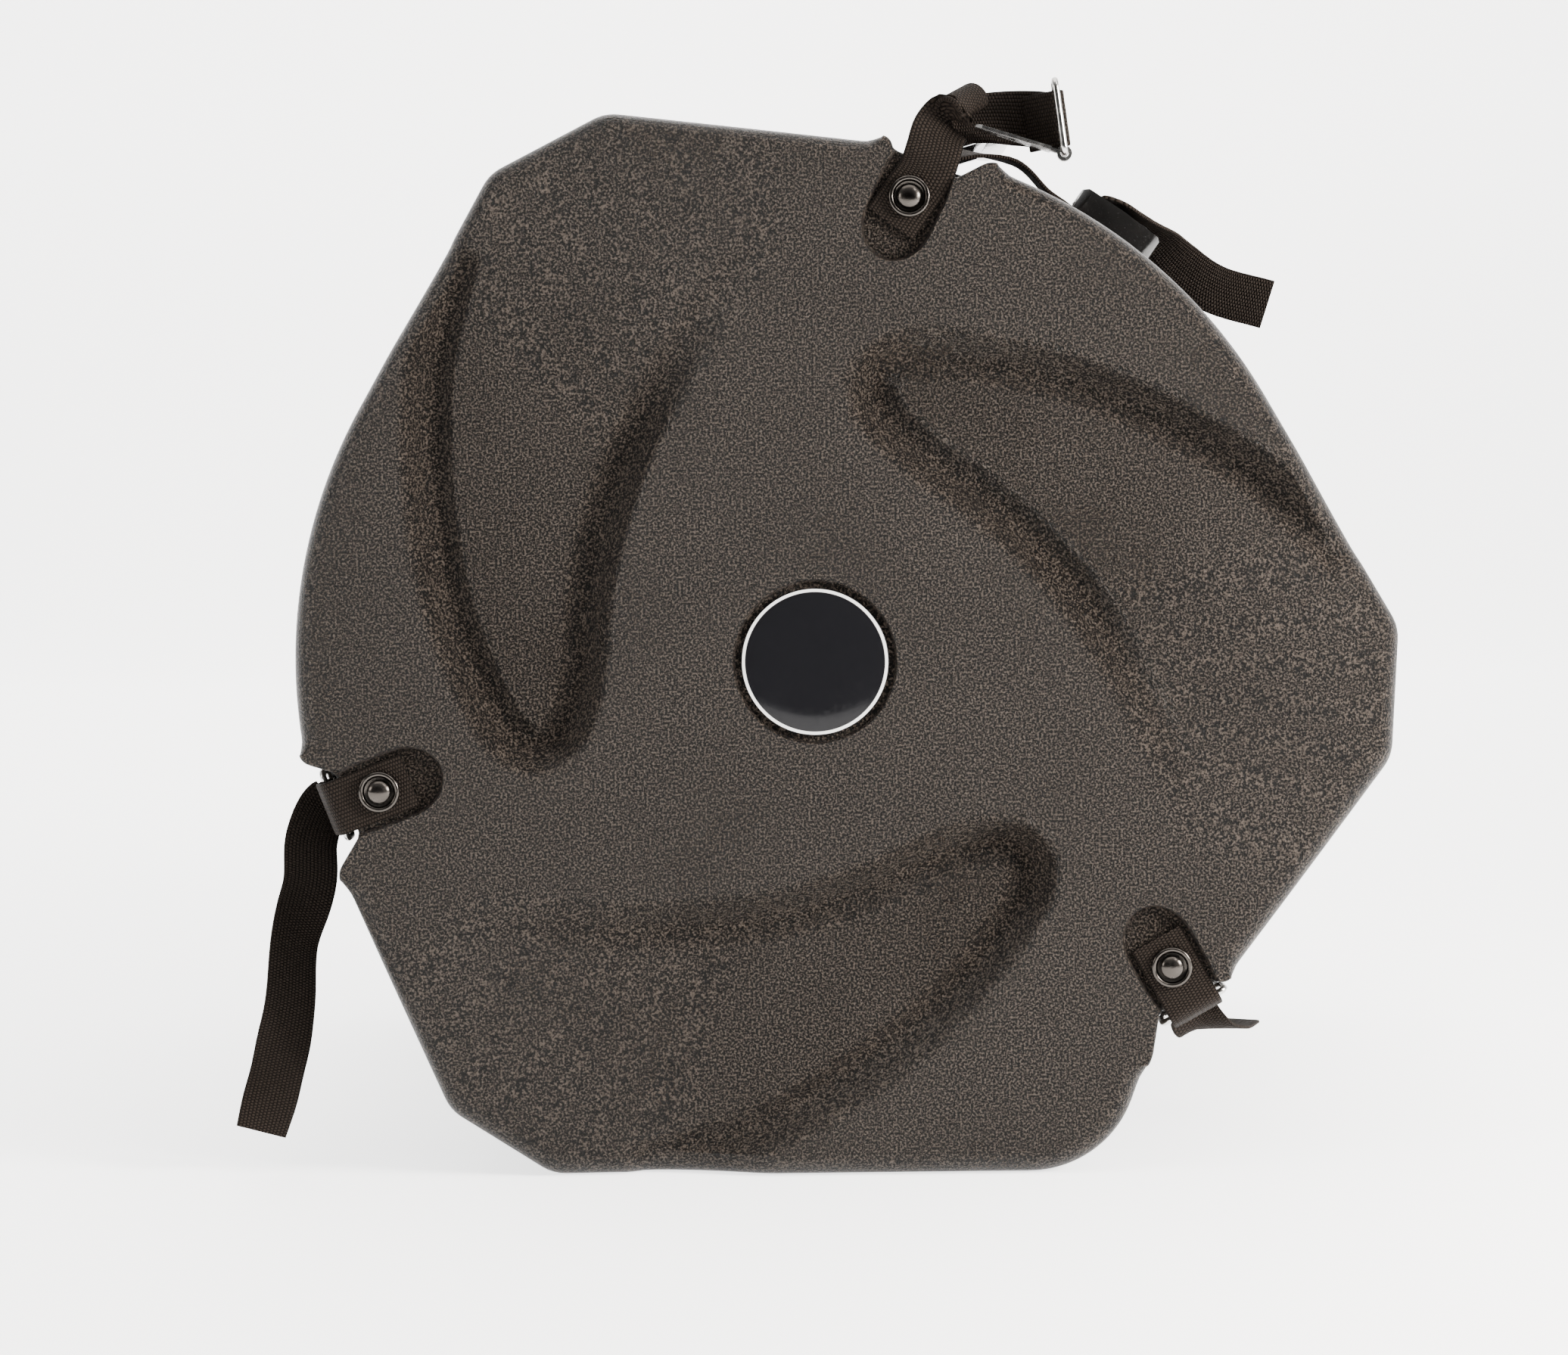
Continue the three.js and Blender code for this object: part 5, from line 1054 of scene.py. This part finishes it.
def open_strap():
    seat, buckle = SEATS[0], open_buckle_frame()
    y, z, turn = STRAP_BAR_Y, STRAP_BAR_Z, STRAP_TURN
    lift = WEBBING_WIDTH / 2
    wide = seat.way(1, 0, 0)
    in_wide = -np.array(buckle.col[0].xyz)

    def in_buckle(y, z):
        return np.array(buckle @ Vector((0, y, z))), in_wide

    def polar(deg, height, depth, *way):
        depth = FACE_Y + OPEN_BUCKLE_DEPTH + depth * WEBBING_WIDTH
        return (CASE_RADIUS + height * lift) * spoke(deg)[0] + (0, depth, FLAT_DROP), unit(way)

    stations = [
        (seat.point(0, BASE_RIVET_DEPTH + BASE_STRAP_END, STRAP_RIDE), wide),
        (seat.point(0, BASE_RIVET_DEPTH, STRAP_RIDE), wide),
        (seat.point(0, BASE_RIVET_DEPTH - 0.7 * WEBBING_WIDTH, STRAP_RIDE + 0.1 * lift), wide),
        (seat.point(0.15 * lift, BASE_RIVET_DEPTH - WEBBING_WIDTH, STRAP_RIDE + 0.9 * lift),
         seat.way(0.8, -0.6, 0)),
        polar(OPEN_ARCH_DEG, 1, 0, 0, -1, 0),
        in_buckle(HOUSING_LENGTH + lift, z - turn), in_buckle(HOUSING_LENGTH + 0.3 * lift, z - turn),
        *(in_buckle(*place) for place in round_bar(y, z)),
        in_buckle(y - 1.5 * turn, z + 2.6 * turn), in_buckle(y - 3 * turn, z + 3.3 * turn),
        *(polar(*row) for row in OPEN_TAIL),
    ]
    ribbon("base_strap", 1, stations, "base")


# Wire rings and turned pieces

def oblong(half_x, half_y, corner, middle_y):
    """Points round an oblong with round corners"""
    quarters = ((1, 1, 0), (-1, 1, 90), (-1, -1, 180), (1, -1, 270))
    x, y = half_x - corner, half_y - corner
    return np.concatenate([arc((x * side, middle_y + y * end), corner, start, start + 90, CORNER_STEPS)
                           for side, end, start in quarters])


def wire_ring(number, matrix):
    path = oblong(RING_LENGTH / 2, RING_PITCH / 2, RING_BEND, RING_PITCH / 2)
    way = unit(np.roll(path, -1, axis=0) - np.roll(path, 1, axis=0))
    skin = Skin()
    turns = np.radians(np.arange(0, 360, 360 / WIRE_SIDES))
    section = [(WIRE_RADIUS * math.cos(turn), WIRE_RADIUS * math.sin(turn)) for turn in turns]
    ids = skin.rings([[matrix @ Vector((x + side * wy, y - side * wx, up)) for side, up in section]
                      for (x, y), (wx, wy) in zip(path, way)])
    skin.join(ids[-1], ids[0])
    piece(f"wire_ring_{number}", skin, "steel", "lid", [f"ring_{number}"], sharp_deg=60)


def turned(name, profile, matrix, slot, body, replaces):
    """A piece of revolution about its frame's z axis; a profile that ends where it starts has a bore"""
    turns = np.radians(np.arange(0, 360, 360 / TURN_SIDES))
    skin = Skin()
    bored = profile[0] == profile[-1]
    profile = profile[:-1] if bored else [(max(r, AXIS_GAP), h) for r, h in profile]
    ids = skin.rings([[matrix @ Vector((r * math.cos(turn), r * math.sin(turn), h)) for turn in turns]
                      for r, h in profile])
    if bored:
        skin.join(ids[-1], ids[0])
    else:
        skin.cap(ids[0])
        skin.cap(ids[-1])
    piece(name, skin, slot, body, replaces, sharp_deg=35)


CUP_RADIUS = 0.0092
CUP_HEIGHT = 0.0023
CUP_FLOOR = 0.0008
CUP_RIM = 0.00115
DOME_RADIUS = 0.0054
DOME_HEIGHT = 0.003
RIVET_TAIL_RADIUS = 0.0036
RIVET_TAIL_LENGTH = 0.0016
WASHER_RADIUS = 0.008
WASHER_THICKNESS = 0.0015
WASHER_EDGE = 0.0003
BADGE_EDGE = 0.0006
AXIS_GAP = 1e-5


def cup_profile():
    low, top = SEAT_GAP, SEAT_GAP + CUP_HEIGHT
    rim = arc((CUP_RADIUS - CUP_RIM, top - CUP_RIM), CUP_RIM, -10, 190, 12)
    dish = low + CUP_FLOOR
    return [(RIVET_HOLE, low), (CUP_RADIUS - WASHER_EDGE, low), *map(tuple, rim),
            (CUP_RADIUS - 2.3 * CUP_RIM, dish + 0.4 * CUP_RIM),
            (CUP_RADIUS - 2.9 * CUP_RIM, dish + 0.08 * CUP_RIM),
            (DOME_RADIUS, dish), (RIVET_HOLE, dish), (RIVET_HOLE, low)]


def rivet_profile(grip):
    head = 2 * SEAT_GAP + CUP_FLOOR
    tail = -grip - WASHER_THICKNESS - 2 * SEAT_GAP
    dome = [(DOME_RADIUS * math.cos(a), head + DOME_HEIGHT * math.sin(a))
            for a in np.radians(np.linspace(0, 88, 12))]
    return [(0, tail - RIVET_TAIL_LENGTH), (RIVET_TAIL_RADIUS * 0.8, tail - RIVET_TAIL_LENGTH),
            (RIVET_TAIL_RADIUS, tail - 0.6 * RIVET_TAIL_LENGTH), (RIVET_TAIL_RADIUS, tail),
            (RIVET_SHANK, tail), (RIVET_SHANK, head), (DOME_RADIUS * 0.97, head),
            *dome, (0, head + DOME_HEIGHT)]


def washer_profile(grip):
    top = -grip - SEAT_GAP
    low, edge = top - WASHER_THICKNESS, WASHER_RADIUS - WASHER_EDGE
    return [(RIVET_HOLE, low), (edge, low), (WASHER_RADIUS, low + WASHER_EDGE),
            (WASHER_RADIUS, top - WASHER_EDGE), (edge, top), (RIVET_HOLE, top), (RIVET_HOLE, low)]


def fixings(side, number, matrix):
    grip = WALL + SEAT_GAP + WEBBING_THICKNESS
    for kind, profile, slot in (("cup", cup_profile(), "gunmetal"),
                                ("rivet", rivet_profile(grip), "gunmetal"),
                                ("back_washer", washer_profile(grip), "steel")):
        turned(f"{side}_{kind}_turned_{number}", profile, matrix, slot, side, [f"{side}_{kind}_{number}"])


def badge_disc():
    back = BADGE_RECESS_DEPTH - SEAT_GAP
    front = back - BADGE_THICKNESS
    matrix = Matrix.Translation((0, FACE_Y, FLAT_DROP)) @ Matrix.Rotation(-math.pi / 2, 4, "X")
    rounding = arc((BADGE_RADIUS - BADGE_EDGE, front + BADGE_EDGE), BADGE_EDGE, -90, 0, 5)
    profile = [(0, front), (BADGE_RADIUS / 2, front), *map(tuple, rounding), (BADGE_RADIUS, back), (0, back)]
    turned("badge_disc", profile, matrix, "badge", "lid", ["badge"])


# Pieces that keep their CAD form, with their edges softened

def softened(node, slot, body, width):
    """A copy of a CAD node with bevelled edges, in its place"""
    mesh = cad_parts[node].data.copy()
    mesh.name = f"{node}_soft"
    work = bmesh.new()
    work.from_mesh(mesh)
    bmesh.ops.remove_doubles(work, verts=work.verts, dist=1e-6)
    bmesh.ops.dissolve_limit(work, angle_limit=math.radians(2), verts=work.verts, edges=work.edges)
    sharp = [edge for edge in work.edges if len(edge.link_faces) == 2
             and edge.calc_face_angle(0) > math.radians(BEVEL_FROM_DEG)]
    bmesh.ops.bevel(work, geom=sharp, offset=width, offset_type="OFFSET", segments=2, profile=0.7,
                    affect="EDGES", clamp_overlap=True)
    work.to_mesh(mesh)
    work.free()
    set_smooth(mesh, sharp_deg=32)
    finish_piece(placed(f"{node}_soft", mesh), slot, body, [node])


def foam_pad(name, node, front, inset, draft):
    """A foam disc that fits the moulding, with rounded edges and a slight crown"""
    rounds = [(FOAM_ROUND * (1 - math.sin(turn)), FOAM_ROUND * (1 - math.cos(turn)))
              for turn in np.radians(np.linspace(0, 90, 5))]
    rows = [(inset + more, front + behind) for more, behind in rounds]
    rows += [(inset + more, front + FOAM_THICKNESS - before) for before, more in rounds]
    skin = Skin()
    ids = []
    for inset, depth in rows:
        ring, weight = ring_outline(inset, inset)
        ids.append(skin.add(in_depth(ring, depth, draft, weight)))
    for first, second in zip(ids, ids[1:]):
        skin.join(first, second)
    centre = np.array([0, 0, FLAT_DROP])
    for end, sign in ((ids[0], 1), (ids[-1], -1)):
        shown = np.array([skin.verts[i] for i in end])
        last = end
        for share in (0.85, 0.6, 0.35, 0.12):
            ring = centre + (shown - centre) * (share, 1, share)
            ring[:, 1] += sign * FOAM_CROWN * (1 - share)
            inner = skin.add(ring)
            skin.join(last, inner)
            last = inner
        skin.cap(last)
    pad = piece(name, skin, "foam", "lid" if "lid" in name else "base", [node], sharp_deg=60)


def handle_pad():
    """The raised flat of the base that the handle plate is riveted to"""
    outward, along = spoke(HANDLE_TURN_DEG)
    seat = frame_of(-along, (0, 1, 0), CASE_RADIUS * outward + (0, FACE_Y, FLAT_DROP))
    skin = Skin()
    rows = []
    for height, inset in HANDLE_PAD_PROFILE:
        ring = oblong(HANDLE_PAD_WIDTH / 2 - inset, HANDLE_PAD_LENGTH / 2 - inset,
                      HANDLE_PAD_CORNER - inset, HANDLE_PAD_FRONT + HANDLE_PAD_LENGTH / 2)
        rows.append([seat @ Vector((x, y, height)) for x, y in ring])
    made = skin.rings(rows)
    skin.cap(made[0])
    skin.cap(made[-1])
    piece("handle_pad", skin, "shell", "base", sharp_deg=60)


def build_case():
    lid_moulding()
    base_moulding()
    handle_pad()
    badge_disc()
    foam_pad("lid_foam_disc", "lid_foam_pad", LID_INNER_LEVEL + SEAT_GAP, 2 * WALL + FOAM_SIDE_GAP, LID_DRAFT)
    foam_pad("base_foam_disc", "base_foam_pad", CASE_DEPTH - WALL - FOAM_THICKNESS - SEAT_GAP,
             WALL + BACK_ROUND + FOAM_SIDE_GAP, BASE_DRAFT)
    open_tab()
    open_strap()
    wire_ring(1, frame_of(OPEN_RING["bar"], OPEN_RING["side"], open_point(*OPEN_RING["far"])))
    for number, fastening in enumerate(FASTENINGS):
        seat = SEATS[number].matrix
        if fastening["closed"]:
            closed_tab(number)
            closed_strap(number)
            wire_ring(number + 1, seat @ Matrix.Translation((0, RING_FRONT, RING_HEIGHT)))
        face_y = POCKET_DEPTH - SEAT_GAP - WEBBING_THICKNESS
        on_face = seat @ Matrix.Translation((0, face_y, 0)) @ Matrix.Rotation(math.pi / 2, 4, "X")
        fixings("lid", number + 1, on_face)
        on_side = seat @ Matrix.Translation((0, BASE_RIVET_DEPTH, STRAP_RIDE + WEBBING_THICKNESS / 2))
        fixings("base", number + 1, on_side)
        softened(f"catch_plate_{number + 1}", "steel", "lid", width=0.0003)
        softened(f"buckle_housing_{number + 1}", "gloss", "base", width=0.0009)
        softened(f"release_button_{number + 1}", "gloss", f"button_{number + 1}", width=0.0006)
        softened(f"latch_spring_{number + 1}", "steel", "base", width=0.00015)
    softened("handle_plate", "gloss", "base", width=0.0009)
    softened("handle_bail", "gloss", "handle", width=0.0014)
    for name in ("handle_pin_front", "handle_pin_rear"):
        softened(name, "steel", "base", width=0.0004)
    for number in range(4):
        softened(f"handle_rivet_{number + 1}", "gunmetal", "base", width=0.0003)


# Floor, light and camera

SWEEP_FRONT = -1.45
SWEEP_BACK = 3.4
SWEEP_BEND = 0.8
SWEEP_TOP = 3.4
SWEEP_SIDE = 6
SKY_WAY = (0.3, 0.62, 0.72)
SKY_LEAN = (-0.45, 0.6)
SKY_STRENGTH = (0.06, 1.3)
LAMP_COLOUR = (1, 0.95, 0.9)


def studio():
    white, _, shader = blank("studio_white", 0.85, specular=0.1)
    shader.inputs["Base Color"].default_value = (0.92, 0.92, 0.92, 1)
    shader.inputs["Emission Color"].default_value = (1, 1, 1, 1)
    shader.inputs["Emission Strength"].default_value = 2.2
    bend = arc((SWEEP_BACK - SWEEP_BEND, SWEEP_BEND), SWEEP_BEND, 270, 360, FILLET_STEPS)
    profile = [(SWEEP_FRONT, 0), *bend, (SWEEP_BACK, SWEEP_TOP)]
    skin = Skin()
    left, right = (skin.add([(x, y, z) for y, z in profile]) for x in (-SWEEP_SIDE, SWEEP_SIDE))
    skin.join(left, right, closed=False)
    mesh = bpy.data.meshes.new("studio_sweep")
    mesh.from_pydata(skin.verts, [], skin.faces)
    set_smooth(mesh, sharp_deg=60)
    mesh.materials.append(white)
    sweep = placed("studio_sweep", mesh)

    world = bpy.data.worlds.new("studio_air")
    world.use_nodes = True
    air = world.node_tree
    background = air.nodes["Background"]
    background.inputs["Color"].default_value = (1, 1, 1, 1)
    lean = add(air, "ShaderNodeVectorMath", {"operation": "DOT_PRODUCT"},
               _0=add(air, "ShaderNodeTexCoord").outputs["Generated"], _1=SKY_WAY).outputs["Value"]
    air.links.new(ranged(air, lean, *SKY_LEAN, *SKY_STRENGTH), background.inputs["Strength"])
    bpy.context.scene.world = world

    for name, place, aim, size, power in (
            ("key_light", (1.1, -1.2, 1.7), (0.05, -0.2, 0.3), 0.4, 10),
            ("right_light", (1.15, -0.68, 0.6), (0.1, -0.2, 0.25), 0.4, 58),
            ("left_light", (-1.5, -0.8, 0.6), (0, -0.2, 0.22), 0.5, 9),
            ("top_light", (0.0, 0.1, 2.6), (0.0, 0.1, 0), 3.2, 95),
            ("wall_light", (0.0, 1.6, 2.6), (0, 3.4, 0.8), 1.8, 90)):
        lamp = bpy.data.lights.new(name, "AREA")
        lamp.energy, lamp.shape, lamp.size = power, "SQUARE", size
        lamp.color = LAMP_COLOUR
        light = placed(name, lamp)
        light.location = place
        light.rotation_euler = (Vector(aim) - Vector(place)).to_track_quat("-Z", "Y").to_euler()


CAMERA_RISE_DEG = 4.2
CAMERA_SIDE_DEG = 0.6
CAMERA_DISTANCE = 1.5
CAMERA_ROLL_DEG = -0.8
CAMERA_LENS = 77.6
IMAGE_WIDTH = 2072
SHIFT_PIXELS = (-41, -20.5)


def camera():
    rise, side = math.radians(CAMERA_RISE_DEG), math.radians(CAMERA_SIDE_DEG)
    target = Vector((0, FACE_Y, FLAT_DROP))
    way = Vector((math.sin(side) * math.cos(rise), -math.cos(side) * math.cos(rise), math.sin(rise)))
    data = bpy.data.cameras.new("camera")
    data.sensor_width = 36
    data.lens = CAMERA_LENS
    data.shift_x, data.shift_y = (pixels / IMAGE_WIDTH for pixels in SHIFT_PIXELS)
    eye = placed("camera", data)
    turn = (-way).to_track_quat("-Z", "Y").to_matrix().to_4x4()
    turn @= Matrix.Rotation(math.radians(CAMERA_ROLL_DEG), 4, "Z")
    eye.matrix_world = Matrix.Translation(target + way * CAMERA_DISTANCE) @ turn
    bpy.context.scene.camera = eye


camera()
build_case()
studio()
